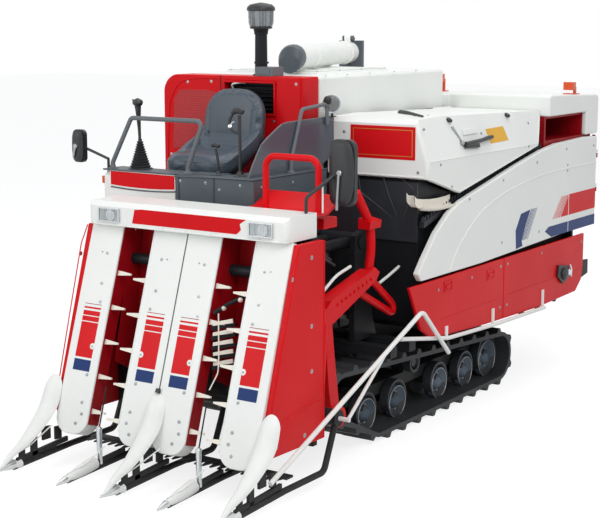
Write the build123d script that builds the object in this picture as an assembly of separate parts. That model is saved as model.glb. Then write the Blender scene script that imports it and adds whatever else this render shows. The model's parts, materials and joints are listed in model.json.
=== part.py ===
"""Head-feeding crawler combine harvester, four rows, modelled in millimetres.

Z points up and the tracks stand on Z = 0. The front of the machine faces -Y and its left
side, where the crop passes, is at +X. The origin is the middle of the footprint.
"""
from build123d import *
from math import acos, atan, atan2, cos, sin
import os

# Reach of the whole machine from the middle of the tracks
RIGHT_REACH = -995
FRONT_REACH = -2220
REAR_REACH = 2220
MIDDLE_Y = (FRONT_REACH + REAR_REACH) / 2

# Clearances: a seat between round fits, and the air round a moving lid or door
SEAT = 0.3
GAP = 8

# Crawler tracks
TRACK_GAUGE = 1060
BELT_WIDTH = 400
BELT_THICK = 26
LUG_HEIGHT = 28
LUG_ROOT = 74
LUG_TIP = 26
CRAWLER_PITCH = 90
SPROCKET_Y = -880
SPROCKET_Z = 350
SPROCKET_R = 110
SPROCKET_TEETH = 12
CASE_HALF = 150
IDLER_Y = 1050
IDLER_R = 136
ROLLER_R = 110
ROLLER_YS = (-480, -130, 390, 740)
CARRIER_Y = 80
CARRIER_R = 60
FLOOR_Z = LUG_HEIGHT + BELT_THICK
IDLER_Z = FLOOR_Z + IDLER_R
ROLLER_Z = FLOOR_Z + ROLLER_R + SEAT
BEAM_HALF = 35
BEAM_Z = (200, 272)
AXLE_R = 20
DISC_FACE = 100
DISC_BACK = 45

# Chassis
TOW_Y = 1975
TOW_Z = 480
TOW_R = 14
TOW_PLATE = 20
RAIL_X = 230
RAIL_WIDTH = 60
RAIL_Z = (440, 530)
CHASSIS_Y = (-560, 1900)
SILL_Z = (530, 590)
CROSS_TUBE_YS = (-305, 130, 565)
SILL_YS = (-590, -380, 320, 1040, 1760)
SILL_DEPTH = 70
FRONT_BEAM = 80
POST_X = (-840, 280)

# Body: left wall, right wall and the split between threshing unit and grain tank
BODY_LEFT = 890
BODY_RIGHT = -890
SHEET = 20
REAR_PLATE = 30
BOLT_SPAN = (600, 260)
BOLT_Z = 800
BOLT_R = 6.5
TANK_X = (-870, 140)
TANK_Y = (-232, 1290)
TANK_Z = (830, 2050)
THRESH_X = (200, 790)
THRESH_Y = (-230, 1385)
LID_LEFT = BODY_LEFT - SHEET
LID_WALL = 25
LID_LEAN = (1584, 1840, 0.34)
DOOR_HINGE = (878, 2204, 12)
DOOR_KNUCKLES = (1180, 1420)
THRESH_EDGE = ((-230, 1490), (160, 1375), (1240, 1573))
LID_HINGE = (185, 1790, 12)
DRUM_X = 490
DRUM_Y = (-120, 1150)
DRUM_Z = 1475
DRUM_R = 190
DRUM_TOOTH = 36
CHAIN_PITCH = 36
CUTTER_X = (20, 840)
CUTTER_Y = (THRESH_Y[1] + 12, REAR_REACH - 40)
CUTTER_Z = (1090, 1750)
OUTLET_Y = (1420, 2005)

# Operator station
DECK_Z = 1120
DECK_Y = (-1130, -240)
CONSOLE_Z = 1530
DECK_LEFT = 310
SCREEN_HINGE = (-880, -256, 7)
SCREEN_KNUCKLES = (700, 980)
HOOD_FRONT_Y = -410
HOOD_TOP = 2050
SEAT_X = -270
SEAT_TOP = 1600

# Header, centred on HEADER_X, whose row cases lean back along one plane
HEADER_X = 154
CASE_WIDTH = 224
PASSAGE = 214
CASE_FOOT_Y = -1915
LEAN = 0.327
CASE_DEPTH = 95
CASE_BOTTOM_Z = 200
TINE_ROWS = 5
TINE_FOOT_Z = 332
TINE_PITCH = 178
TINE_REACH = 91
COVER_Z = (1290, 1416)
COVER_Y = (-1540, -1276)
COVER_HALF = CASE_WIDTH * 2 + PASSAGE - 7
PANEL_THICK = 36
HEADER_HALF = CASE_WIDTH * 2 + PASSAGE + PANEL_THICK
OUTER_DIVIDER = HEADER_HALF + 19
PIVOT_Y = -530
PIVOT_Z = 1150
PIVOT_R = 38
MAIN_TUBE = (-1180, 330, 45)
MAIN_REACH = OUTER_DIVIDER + 18
GUIDE_ROD_R = 13
GUIDE_ROD_X = HEADER_X + MAIN_REACH + 53
LEFT_REACH = GUIDE_ROD_X + GUIDE_ROD_R
MIDDLE_X = (LEFT_REACH + RIGHT_REACH) / 2
HOOD_PLATE_Z = 1405
DIVIDERS = (-OUTER_DIVIDER, -CASE_WIDTH - PASSAGE / 2, 0, CASE_WIDTH + PASSAGE / 2, OUTER_DIVIDER)
POST_Y = (-1320, -1280)
DIVIDER_PIPE_R = 17
KNIFE_Z = (86, 98)
KNIFE_PITCH = 50

PIVOT_POSTS = (345, 600)
PIVOT_POST_OUTLINE = (
    (-600, 590), (-360, 590), (-400, 700), (-470, 1190), (-520, 1215), (-590, 1190), (-600, 1100),
)

# Lift cylinder between the chassis and the header
CYLINDER_X = 208
CYLINDER_FOOT = (-700, 490)
CYLINDER_EYE = (-1020, 670)
EYE_GAP = 1.6
CYLINDER_R = 34
PISTON_R = 19
PIN_R = 14

# Unloading auger
AUGER_X = -700
AUGER_Y = 1470
AUGER_Z = 2150
AUGER_R = 75
SPOUT_END = (-200, -20)


def block(x, y, z):
    """Box between pairs of limits along X, Y and Z."""
    size = (x[1] - x[0], y[1] - y[0], z[1] - z[0])
    return Pos((x[0] + x[1]) / 2, (y[0] + y[1]) / 2, (z[0] + z[1]) / 2) * Box(*size)


def side_plate(outline, x):
    """Plate across X from an outline of (y, z) points."""
    face = Plane.YZ * Polygon(*outline, align=None)
    return Pos(x[0], 0, 0) * extrude(face, amount=x[1] - x[0], dir=(1, 0, 0))


def front_plate(outline, y):
    """Plate across Y from an outline of (x, z) points."""
    face = Plane.XZ * Polygon(*outline, align=None)
    return Pos(0, y[0], 0) * extrude(face, amount=y[1] - y[0], dir=(0, 1, 0))


def rod(start, end, radius):
    """Round bar between two points."""
    run = Vector(*end) - Vector(*start)
    bar = Cylinder(radius, run.length, align=(Align.CENTER, Align.CENTER, Align.MIN))
    return Plane(origin=start, z_dir=run) * bar


def pipe(points, radius, bend):
    """Round bar along straight runs that are joined by tangent bends."""
    path = FilletPolyline(*points, radius=bend)
    return sweep(Plane(origin=path @ 0, z_dir=path % 0) * Circle(radius), path=path)


def leaning(x, along, out=0):
    """Place on the leaning front of the row cases: across, up along the slope, and out of it."""
    angle = atan(LEAN)
    y = CASE_FOOT_Y + along * sin(angle) - out * cos(angle)
    z = along * cos(angle) + out * sin(angle)
    return (x, y, z)


def slope(z):
    """Distance up the leaning front at the height z."""
    return z / cos(atan(LEAN))


def track_tangent():
    """Normal and distance of the straight upper run, on the inside of the belt."""
    reach = Vector(IDLER_Y - SPROCKET_Y, IDLER_Z - SPROCKET_Z)
    angle = atan2(reach.Y, reach.X) + acos((SPROCKET_R - IDLER_R) / reach.length)
    distance = SPROCKET_Y * cos(angle) + SPROCKET_Z * sin(angle) + SPROCKET_R
    return cos(angle), sin(angle), distance


def track_loop(grow):
    """Closed outline of the belt's path, moved outward from its inner face."""
    wheels = (
        (SPROCKET_Y, SPROCKET_Z, SPROCKET_R),
        (ROLLER_YS[0], FLOOR_Z + ROLLER_R, ROLLER_R),
        (IDLER_Y, IDLER_Z, IDLER_R),
    )
    circles = [Pos(y, z) * Edge.make_circle(radius + grow) for y, z, radius in wheels]
    return make_hull(circles)


def track():
    """Rubber belt with triangular lugs, staggered between its outer and inner half."""
    outside = track_loop(BELT_THICK)
    ring = outside - track_loop(0)
    wire = outside.face().outer_wire()
    count = 2 * round(wire.length / CRAWLER_PITCH / 2)
    halves = []
    for half in (0, 1):
        lugs = []
        for number in range(half, count, 2):
            foot = wire @ (number / count)
            along = wire % (number / count)
            out = Vector(along.Y, -along.X)
            if (foot + out - Vector(0, SPROCKET_Z)).length < (foot - Vector(0, SPROCKET_Z)).length:
                out = -out
            root = foot - out * (BELT_THICK / 2)
            tip = foot + out * LUG_HEIGHT
            corners = (
                root - along * (LUG_ROOT / 2),
                tip - along * (LUG_TIP / 2),
                tip + along * (LUG_TIP / 2),
                root + along * (LUG_ROOT / 2),
            )
            lugs.append(make_face(Polyline(*corners, close=True)))
        outline = ring + lugs
        width = BELT_WIDTH / 2
        halves.append(Pos((half - 1) * width, 0, 0) * extrude(Plane.YZ * outline, amount=width))
    return Pos(TRACK_GAUGE / 2, 0, 0) * (halves[0] + halves[1])


def wheel(y, z, radius, shaft=AXLE_R):
    """Pair of dished discs on one axle, for a track roller, idler or carrier roller."""
    rim = radius - 14
    profile = (
        (0, DISC_BACK), (radius, DISC_BACK), (radius, DISC_FACE), (rim, DISC_FACE),
        (rim * 0.72, DISC_BACK + 18), (shaft * 1.9, DISC_BACK + 18), (shaft * 1.5, DISC_FACE - 8),
        (0, DISC_FACE - 8),
    )
    disc = revolve(Plane.XZ * Polygon(*profile, align=None), axis=Axis.Z)
    pair = disc + mirror(disc, about=Plane.XY) + Cylinder(shaft, 2 * DISC_BACK)
    return Pos(TRACK_GAUGE / 2, y, z) * Rot(0, 90, 0) * pair


def rollers():
    """Track rollers, rear idler and carrier roller of one side."""
    ny, nz, distance = track_tangent()
    carrier_z = (distance - CARRIER_R - SEAT - ny * CARRIER_Y) / nz
    wheels = [wheel(y, ROLLER_Z, ROLLER_R - SEAT) for y in ROLLER_YS]
    wheels.append(wheel(IDLER_Y, IDLER_Z, IDLER_R - SEAT))
    wheels.append(wheel(CARRIER_Y, carrier_z, CARRIER_R, shaft=16))
    return wheels, carrier_z


def roller_frame():
    """Beam inside the track that carries the axles of its rollers."""
    middle = TRACK_GAUGE / 2
    wide = (middle - BEAM_HALF, middle + BEAM_HALF)
    carrier_z = rollers()[1]
    beam = block(wide, (ROLLER_YS[0] - 120, IDLER_Y + 45), BEAM_Z)
    for y in ROLLER_YS:
        beam += block(wide, (y - 34, y + 34), (ROLLER_Z - 32, BEAM_Z[0]))
    beam += block(wide, (IDLER_Y - 45, IDLER_Y + 45), (IDLER_Z - 45, BEAM_Z[0]))
    beam += block(wide, (CARRIER_Y - 30, CARRIER_Y + 30), (BEAM_Z[1], carrier_z + 28))
    axles = [(y, ROLLER_Z, AXLE_R) for y in ROLLER_YS]
    axles += [(IDLER_Y, IDLER_Z, AXLE_R), (CARRIER_Y, carrier_z, 16)]
    for y, z, radius in axles:
        beam -= Pos(middle, y, z) * Rot(0, 90, 0) * Cylinder(radius + SEAT, 4 * BEAM_HALF)
    return beam


def sprocket():
    """Toothed drive wheel that turns the belt at its front end."""
    root = SPROCKET_R - 16
    outline = Circle(root)
    for number in range(SPROCKET_TEETH):
        tooth = Polygon((root - 6, -17), (SPROCKET_R - SEAT, -8), (SPROCKET_R - SEAT, 8), (root - 6, 17), align=None)
        outline += Rot(0, 0, 360 * number / SPROCKET_TEETH) * tooth
    outline -= PolarLocations(root * 0.62, 6) * Circle(13)
    body = extrude(outline, amount=25, both=True) + Cylinder(42, 90)
    return Pos(TRACK_GAUGE / 2, SPROCKET_Y, SPROCKET_Z) * Rot(0, 90, 0) * body


def transmission_case():
    """Gear case between the tracks with the two axle tubes to the sprockets."""
    outline = ((-1010, 300), (-960, 250), (-780, 250), (-700, 300), (-640, 440), (-640, 640), (-820, 640), (-1000, 470))
    reach = TRACK_GAUGE / 2 - 45
    solids = [side_plate(outline, (-CASE_HALF, CASE_HALF))]
    for near, far in ((-reach, -CASE_HALF), (CASE_HALF, reach)):
        solids.append(rod((near, SPROCKET_Y, SPROCKET_Z), (far, SPROCKET_Y, SPROCKET_Z), 55))
    return solids


def chassis_frame():
    """Welded beams: two rails on cross tubes, the sills that carry the body, posts and brackets."""
    half = RAIL_WIDTH / 2
    front = CHASSIS_Y[0] - FRONT_BEAM
    inner = RAIL_X - half
    beams = [
        block((-RAIL_X - half, RAIL_X + half), (front, CHASSIS_Y[0]), RAIL_Z),
        block((-inner, inner), (CHASSIS_Y[1] - RAIL_WIDTH, CHASSIS_Y[1]), RAIL_Z),
    ]
    tube_z = (BEAM_Z[0] + 8, BEAM_Z[1] - 8)
    reach = TRACK_GAUGE / 2 - BEAM_HALF
    for x in (-RAIL_X, RAIL_X):
        beams.append(block((x - half, x + half), CHASSIS_Y, RAIL_Z))
        for y in CROSS_TUBE_YS:
            beams.append(block((x - half, x + half), (y - 25, y + 25), (tube_z[1], RAIL_Z[0])))
    for y in CROSS_TUBE_YS:
        beams.append(block((-reach, reach), (y - 25, y + 25), tube_z))
    for y in SILL_YS:
        reach = BODY_LEFT - SHEET
        beams.append(block((-reach, reach), (y - SILL_DEPTH / 2, y + SILL_DEPTH / 2), SILL_Z))
    for x in POST_X:
        for y in SILL_YS[:2]:
            beams.append(block((x - 20, x + 20), (y - 20, y + 20), (SILL_Z[1], DECK_Z - 30)))
    pivot = Pos(0, PIVOT_Y, PIVOT_Z) * Rot(0, 90, 0) * Cylinder(PIVOT_R + SEAT, 3000)
    for x in PIVOT_POSTS:
        beams.append(side_plate(PIVOT_POST_OUTLINE, (x - 18, x + 18)) - pivot)
    tow = block((-90, 90), (CHASSIS_Y[1], TOW_Y + 45), (TOW_Z - TOW_PLATE / 2, TOW_Z + TOW_PLATE / 2))
    beams.append(tow - rod((0, TOW_Y, TOW_Z - 50), (0, TOW_Y, TOW_Z + 50), TOW_R))
    foot_y, foot_z = CYLINDER_FOOT
    pin = Pos(0, foot_y, foot_z) * Rot(0, 90, 0) * Cylinder(PIN_R + SEAT, 3000)
    cheek = ((front, foot_z - 40), (front, foot_z + 36), (foot_y - 25, foot_z + 30), (foot_y - 34, foot_z - 24))
    for x in (CYLINDER_X - 54, CYLINDER_X + 38):
        beams.append(side_plate(cheek, (x, x + 16)) - pin)
    return beams


def threshing_housing():
    """Body of the threshing unit below its lid, with the trough of the drum and the hinge wall."""
    low, high = THRESH_EDGE[1:]
    rise = (high[1] - low[1]) / (high[0] - low[0])
    front = THRESH_Y[0] + 35
    back = THRESH_Y[1] - GAP
    outline = [
        (front, 640), (-100, SILL_Z[1]), (1900, SILL_Z[1]), (1900, 1090), (back, 1090),
        (back, low[1] + rise * (back - low[0]) - SEAT), (low[0], low[1] - SEAT), (front, THRESH_EDGE[0][1] - 12),
    ]
    body = side_plate(outline, (TANK_X[1] + 10, THRESH_X[1]))
    trough = DRUM_R + DRUM_TOOTH + 12
    body -= rod((DRUM_X, DRUM_Y[0] - 15, DRUM_Z), (DRUM_X, DRUM_Y[1] + 15, DRUM_Z), trough)
    body -= rod((DRUM_X, DRUM_Y[0] - 40, DRUM_Z), (DRUM_X, DRUM_Y[1] + 40, DRUM_Z), 30 + SEAT)
    wall = block((TANK_X[1] + 10, TANK_X[1] + 28), (front, back), (1300, LID_HINGE[1] - 20))
    return [body + wall + hinge_knuckles(0)]


def hinge_knuckles(first):
    """Every second knuckle of the lid's hinge, from the given one on."""
    x, z, radius = LID_HINGE
    knuckles = []
    for number in range(first, 6, 2):
        pitch = (THRESH_Y[1] - THRESH_Y[0] - 160) / 6
        y = THRESH_Y[0] + 80 + number * pitch
        far = y + pitch - 5
        barrel = rod((x, y, z), (x, far, z), radius)
        if first:
            barrel += block((x + 3, THRESH_X[0] + 12), (y, far), (z - 55, z + 8))
        else:
            barrel += block((TANK_X[1] + 10, x), (y, far), (z - 30, z - 4))
        knuckles.append(barrel)
    return knuckles


def threshing_drum():
    """Threshing drum with wire teeth in staggered rows."""
    drum = rod((DRUM_X, DRUM_Y[0], DRUM_Z), (DRUM_X, DRUM_Y[1], DRUM_Z), DRUM_R)
    return [drum + rod((DRUM_X, DRUM_Y[0] - 39, DRUM_Z), (DRUM_X, DRUM_Y[1] + 39, DRUM_Z), 30)]


def lid_form(wall):
    """Closed form of the lid, smaller by the given wall on every side but its foot."""
    front, rear = THRESH_Y
    foot = THRESH_EDGE if not wall else ((front + wall, 1300), (rear - wall - 166, 1300))
    slant = THRESH_EDGE[2] if not wall else (rear - wall - 166, 1555)
    outline = [
        foot[0], (front + wall, 1793 - wall / 2), (front + 30 + wall / 2, 1820 - wall), (60, 1826 - wall),
        (rear - wall, 1789 - wall), (rear - wall, 1757 + wall / 4), slant,
    ]
    outline.append(foot[1])
    low, high, lean = LID_LEAN
    left = LID_LEFT - wall
    right = THRESH_X[0] - wall / 5
    section = (
        (right, 1300), (left, 1300), (left, low - wall / 6), (left - lean * (high - low) - wall / 20, high), (right, high),
    )
    return side_plate(outline, (right, left)) & front_plate(section, (front - 5, rear + 5))


def threshing_cover():
    """Lid of the threshing unit: front, top, folded left wall and slanted rear in one hood."""
    hood = lid_form(0)
    corner = [edge for edge in hood.edges() if edge.center().Y < THRESH_Y[0] + 1 and edge.center().X > LID_LEFT - 90
              and abs(edge.tangent_at(0.5).X) < 0.5]
    hood = fillet(corner, 22)
    return [hood - lid_form(LID_WALL) + hinge_knuckles(1)]


def inlet_curtain():
    """Rubber curtain across the mouth of the threshing unit."""
    back = THRESH_Y[0] + 35
    return [block((THRESH_X[0] + 5, THRESH_X[1]), (back - 12, back), (1120, 1462))]


def feed_chain():
    """Toothed chain on its rail that carries the straw along the threshing unit."""
    x = (THRESH_X[1] + 14, THRESH_X[1] + 44)
    top = ((-200, 1240), (160, 1330), (THRESH_Y[1] - GAP, 1560))
    rail = [(y, z - 34) for y, z in top] + [(y, z) for y, z in reversed(top)]
    solids = side_plate(rail, x)
    for (y, z), (far_y, far_z) in (top[:2], top[1:]):
        count = round((far_y - y) / CHAIN_PITCH)
        for number in range(count):
            share = (number + 0.5) / count
            foot_y = y + (far_y - y) * share
            foot_z = z + (far_z - z) * share
            tooth = ((foot_y - 12, foot_z - 4), (foot_y + 12, foot_z - 4), (foot_y + 10, foot_z + 22), (foot_y + 2, foot_z + 24))
            solids += side_plate(tooth, (x[0] + 4, x[1] - 4))
    for y, z in ((-120, 1242), (500, 1370), (1100, 1480)):
        solids += block((THRESH_X[1], x[0]), (y - 20, y + 20), (z - 18, z))
    return [solids]


def side_skirt():
    """Two red skirt panels along the lower left side."""
    outline = (
        (-460, 905), (-320, 640), (-195, 565), (500, 525), (1270, 500), (1890, 510), (1985, 580), (2010, 680), (2010, 905),
    )
    panel = side_plate(outline, (BODY_LEFT - SHEET, BODY_LEFT))
    return [panel - block((BODY_LEFT - 60, BODY_LEFT + 60), (738, 742), (400, 1000))]


def side_cover():
    """Swing-out left cover with its curved upper edge and the outer knuckles of its hinge."""
    rear = DOOR_HINGE[1] - 14
    outline = (
        (-360, 965), (-320, 920), (440, 918), (rear, 960), (rear, 1572), (1985, 1580), (1500, 1568), (1255, 1540),
        (930, 1484), (450, 1392), (150, 1330), (5, 1276), (-145, 1180), (-290, 1042),
    )
    cover = side_plate(outline, (BODY_LEFT - 40, BODY_LEFT))
    x, y, radius = DOOR_HINGE
    for z in DOOR_KNUCKLES:
        cover += rod((x, y, z + 30 + SEAT), (x, y, z + 60), radius)
        cover += block((x - radius, x + radius), (rear, y), (z + 30 + SEAT, z + 60))
    return [cover]


def roof_height(y):
    """Height of the rear cover's roof, which falls towards the back."""
    return CUTTER_Z[1] + 142 - (y - THRESH_Y[1]) * 0.034


def rear_cover():
    """Top cover over the straw outlet, with its tongue behind the grain tank and its left rear leg."""
    front = THRESH_Y[1] + GAP
    low = CUTTER_Z[1]
    outline = (
        (front, low), (front, low + 130), (front + 30, roof_height(front + 30)), (REAR_REACH - 30, roof_height(REAR_REACH - 30)),
        (REAR_REACH, low + 95), (REAR_REACH, low),
    )
    cover = side_plate(outline, (-20, BODY_LEFT - 10))
    cover += side_plate(((TANK_Y[1] + GAP, low + 55), (TANK_Y[1] + GAP, low + 130), (front, low + 130), (front, low)), (-20, 130))
    leg = block((CUTTER_X[1], BODY_LEFT - 10), (OUTLET_Y[1] + 6, REAR_REACH), (1592, low))
    return [cover + leg]


def straw_cutter():
    """Straw outlet and cutter housing at the rear."""
    body = block(CUTTER_X, CUTTER_Y, CUTTER_Z)
    slanted = ((OUTLET_Y[0] - 40, 1590), (OUTLET_Y[0], 1732), (OUTLET_Y[1], 1732), (OUTLET_Y[1], 1590))
    body -= side_plate(slanted, (CUTTER_X[0] + 80, CUTTER_X[1] + 60)) & block((0, 1000), (OUTLET_Y[0], OUTLET_Y[1]), CUTTER_Z)
    x, y, radius = DOOR_HINGE
    edge = CUTTER_X[1]
    for z in DOOR_KNUCKLES:
        body += block((edge - 40, edge), (CUTTER_Y[1], y + radius), (z, z + 30))
        body += block((edge, x), (y - 6, y + radius), (z, z + 30))
        body += rod((x, y, z), (x, y, z + 30), radius)
    return [body]


def rear_frame():
    """Rear end plate below the cutter."""
    plate = block((-860, 840), (CHASSIS_Y[1], CHASSIS_Y[1] + REAR_PLATE), (SILL_Z[0], 1090))
    for x in (-BOLT_SPAN[0] / 2, BOLT_SPAN[0] / 2):
        for z in (BOLT_Z - BOLT_SPAN[1] / 2, BOLT_Z + BOLT_SPAN[1] / 2):
            plate -= rod((x, CHASSIS_Y[1] - 10, z), (x, CHASSIS_Y[1] + REAR_PLATE + 10, z), BOLT_R)
    return [plate]


def grain_tank():
    """Grain tank at the right rear, hipped along its roof and drawn in to the hopper under it."""
    right, left = TANK_X
    low, high = TANK_Z
    section = (
        (right, low + 190), (right, high - 45), (right + 30, high), (left - 14, high), (left, high - 14), (left, low),
        (right + 90, low),
    )
    tank = front_plate(section, TANK_Y)
    hopper = ((right + 90, low), (left - 120, low), (left - 300, SILL_Z[1]), (right + 190, SILL_Z[1]))
    tank += front_plate(hopper, (TANK_Y[0] + 60, TANK_Y[1] - 60))
    hatch = block((right + 130, left - 180), (TANK_Y[0] + 260, TANK_Y[1] - 420), (high, high + 14))
    return [tank + fillet(hatch.edges().group_by(Axis.Z)[-1], 8)]


def auger_column():
    """Upright unloading auger at the rear right corner."""
    column = rod((AUGER_X, AUGER_Y, 620), (AUGER_X, AUGER_Y, AUGER_Z - 190), AUGER_R)
    column += block((AUGER_X - 100, AUGER_X + 100), (AUGER_Y - 110, AUGER_Y + 100), (SILL_Z[1], 700))
    shelf = SILL_YS[-1] + SILL_DEPTH / 2
    column += block((AUGER_X - 100, AUGER_X + 100), (AUGER_Y - 110, shelf), (SILL_Z[1], SILL_Z[1] + 30))
    for z in (1100, 1700):
        column += block((AUGER_X - 45, AUGER_X + 45), (TANK_Y[1], AUGER_Y), (z, z + 40))
    return [column]


def auger_elbow():
    """Swivelling head on top of the upright auger."""
    head = rod((AUGER_X, AUGER_Y, AUGER_Z - 190 + SEAT), (AUGER_X, AUGER_Y, AUGER_Z + 80), AUGER_R + 14)
    run = auger_run()
    cross = Vector(-run.Y, run.X, 0)
    hinge = auger_hinge()
    for side in (-1, 1):
        middle = hinge + cross * (side * 30) - run * 20
        ear = Plane(origin=tuple(middle), x_dir=tuple(run), z_dir=tuple(cross)) * Box(40, 34, 14)
        ear += rod(tuple(hinge + cross * (side * 30 - 7)), tuple(hinge + cross * (side * 30 + 7)), 17)
        head += ear + rod(tuple(hinge - run * 40 + cross * (side * 30)), tuple(hinge - run * 75 - Vector(0, 0, 60)), 14)
    return [head + rod(tuple(hinge - cross * 37), tuple(hinge + cross * 37), 9)]


def auger_run():
    """Level direction of the parked unloading tube."""
    return Vector(SPOUT_END[0] - AUGER_X, SPOUT_END[1] - AUGER_Y, 0).normalized()


def auger_hinge():
    """Middle of the tube's lift hinge, above the joint with its head."""
    return Vector(AUGER_X, AUGER_Y, AUGER_Z) + auger_run() * (AUGER_R + 40) + Vector(0, 0, AUGER_R + 24)


def auger_tube():
    """Sloping unloading tube along the top of the tank with its spout."""
    start = Vector(AUGER_X, AUGER_Y, AUGER_Z)
    run = auger_run()
    hinge = auger_hinge()
    cross = Vector(-run.Y, run.X, 0)
    tube = rod(tuple(start + run * (AUGER_R + 15 + SEAT)), (SPOUT_END[0], SPOUT_END[1], AUGER_Z), AUGER_R)
    lug = Plane(origin=tuple(hinge - Vector(0, 0, 20)), x_dir=tuple(run), z_dir=tuple(cross)) * Box(40, 40, 40)
    tube += lug + rod(tuple(hinge - cross * 22), tuple(hinge + cross * 22), 20)
    return [tube - rod(tuple(hinge - cross * 60), tuple(hinge + cross * 60), 9 + SEAT)]


def engine_block():
    """Engine under the driver's seat, one plain mass."""
    return [block((-740, -140), (-550, -250), (SILL_Z[1], 1080))]


def operator_deck():
    """Driver's platform with its front wall."""
    deck = block((BODY_RIGHT, DECK_LEFT), DECK_Y, (DECK_Z - 30, DECK_Z))
    deck += block((BODY_RIGHT, CYLINDER_X - 90), (DECK_Y[0], DECK_Y[0] + 25), (760, DECK_Z - 30))
    x, y, radius = SCREEN_HINGE
    deck += block((x - 5, x + 25), (y + radius, y + radius + 16), (640, DECK_Z - 30))
    for z in SCREEN_KNUCKLES:
        deck += rod((x, y, z), (x, y, z + 25), radius) + block((x - 5, x + 5), (y, y + radius), (z, z + 25))
    return [deck]


def front_console():
    """Instrument console in front of the driver."""
    outline = ((-1130, 1120), (-972, 1120), (-972, CONSOLE_Z), (-1100, CONSOLE_Z), (-1130, CONSOLE_Z - 35))
    return [side_plate(outline, (-750, -230))]


def side_console():
    """Grey console between the driver and the threshing unit."""
    body = block((-229, DECK_LEFT), (-1128, -972), (DECK_Z, CONSOLE_Z))
    return [body + block((60, DECK_LEFT), (-972, HOOD_FRONT_Y), (DECK_Z, CONSOLE_Z))]


def steering_lever():
    """Steering lever with its bellows boot."""
    boot = Pos(-560, -1030, CONSOLE_Z) * Cone(48, 20, 150, align=(Align.CENTER, Align.CENTER, Align.MIN))
    lever = boot + rod((-560, -1030, 1600), (-560, -1040, 1880), 9)
    return [lever + Pos(-560, -1040, 1895) * Sphere(24)]


def shift_levers():
    """Two travel levers on the side console."""
    solids = []
    for x, top in ((140, 1880), (-10, 1700)):
        lever = rod((x, -1020, CONSOLE_Z), (x, -1020, top), 9)
        solids.append(lever + Pos(x, -1020, top) * Sphere(22))
    return solids


def front_handrail():
    """Hoop rail in front of the driver with the arm of the right mirror."""
    y = -1085
    foot = CONSOLE_Z
    hoop = pipe([(-720, y, foot), (-720, y, foot + 40), (-575, y, 1830), (-60, y, 1830), (-170, y, foot + 40), (-170, y, foot)], 13, 30)
    return [hoop]


def mirror_right():
    """Right mirror on its arm."""
    body = block((RIGHT_REACH, RIGHT_REACH + 90), (-1120, -1095), (1560, 1750))
    body = fillet(body.edges().filter_by(Axis.Y), 30)
    arm = rod((RIGHT_REACH + 60, -1100, 1650), (-740, -1100, CONSOLE_Z + 60), 8)
    return [body + arm + rod((-740, -1100, CONSOLE_Z), (-740, -1100, CONSOLE_Z + 62), 8)]


def seat_base():
    """Cover under the driver's seat."""
    return [block((-780, 58), (-700, HOOD_FRONT_Y), (DECK_Z, 1475))]


def operator_seat():
    """Driver's seat: rounded cushion and a back with round shoulders."""
    middle = (-960 - 560) / 2
    cushion = Pos(SEAT_X, middle, (1475 + SEAT_TOP) / 2) * Box(470, 400, SEAT_TOP - 1475)
    cushion = fillet(cushion.edges().filter_by(Axis.Z), 70)
    cushion = fillet(cushion.edges().group_by(Axis.Z)[-1], 24)
    shape = Rectangle(450, 420)
    shape = fillet(shape.vertices().group_by(Axis.Y)[-1], 130)
    back = extrude(shape, amount=45, both=True)
    back = Plane(origin=(SEAT_X, -500, SEAT_TOP + 180), x_dir=(1, 0, 0), z_dir=(0, -1, 0.14)) * back
    back -= block((SEAT_X - 300, SEAT_X + 300), (-700, -300), (1300, SEAT_TOP))
    joint = block((SEAT_X - 200, SEAT_X + 200), (-580, -500), (1475, SEAT_TOP + 30))
    return [cushion + back + joint]


def engine_hood():
    """Red hood behind the driver, rounded at its outer top edge, with the recess beside the seat."""
    hood = block((BODY_RIGHT, TANK_X[1]), (HOOD_FRONT_Y, DECK_Y[1]), (DECK_Z, HOOD_TOP))
    crown = hood.edges().filter_by(Axis.Y).group_by(Axis.Z)[-1].sort_by(Axis.X)
    hood = fillet(crown[0], 110)
    return [hood - block((-421, -51), (HOOD_FRONT_Y, HOOD_FRONT_Y + 70), (1825, 2020))]


def radiator_cover():
    """Hinged screen over the radiator on the right side."""
    x, y, radius = SCREEN_HINGE
    cover = block((BODY_RIGHT, BODY_RIGHT + 20), (-900, y - radius), (640, DECK_Z - 40))
    for z in SCREEN_KNUCKLES:
        cover += rod((x, y, z + 25 + SEAT), (x, y, z + 50), radius)
        cover += block((x - 5, x + 5), (y - radius - 1, y), (z + 25 + SEAT, z + 50))
    return [cover]


def pre_cleaner():
    """Air pre-cleaner on its stack."""
    x, y = -230, -300
    stack = rod((x, y, HOOD_TOP), (x, y, 2330), 38)
    bowl = rod((x, y, 2330), (x, y, 2440), 75)
    return [stack + bowl + rod((x, y, 2440), (x, y, 2480), 82)]


def side_guard_panel():
    """Smoked panel between the driver and the threshing unit, with its grab rail."""
    foot = CONSOLE_Z
    outline = ((-1080, foot), (-1050, 1590), (-960, 1710), (-760, 1810), (-240, 1820), (-240, 1600), (-420, foot))
    panel = side_plate(outline, (234, 246))
    return [panel]


def side_grab_rail():
    """Grey grab rail beside the driver."""
    x = 257
    rail = pipe([(x, -700, CONSOLE_Z), (x, -700, 1600), (x, -590, 1880), (x, -330, 1900), (x, -330, 1780)], 11, 30)
    return [rail]


def work_lamp():
    """Round work lamp at the front of the threshing lid."""
    lamp = rod((240, -290, 1895), (240, -242, 1895), 50)
    return [lamp + block((234, 246), (-275, -245), (1820, 1850))]


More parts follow.
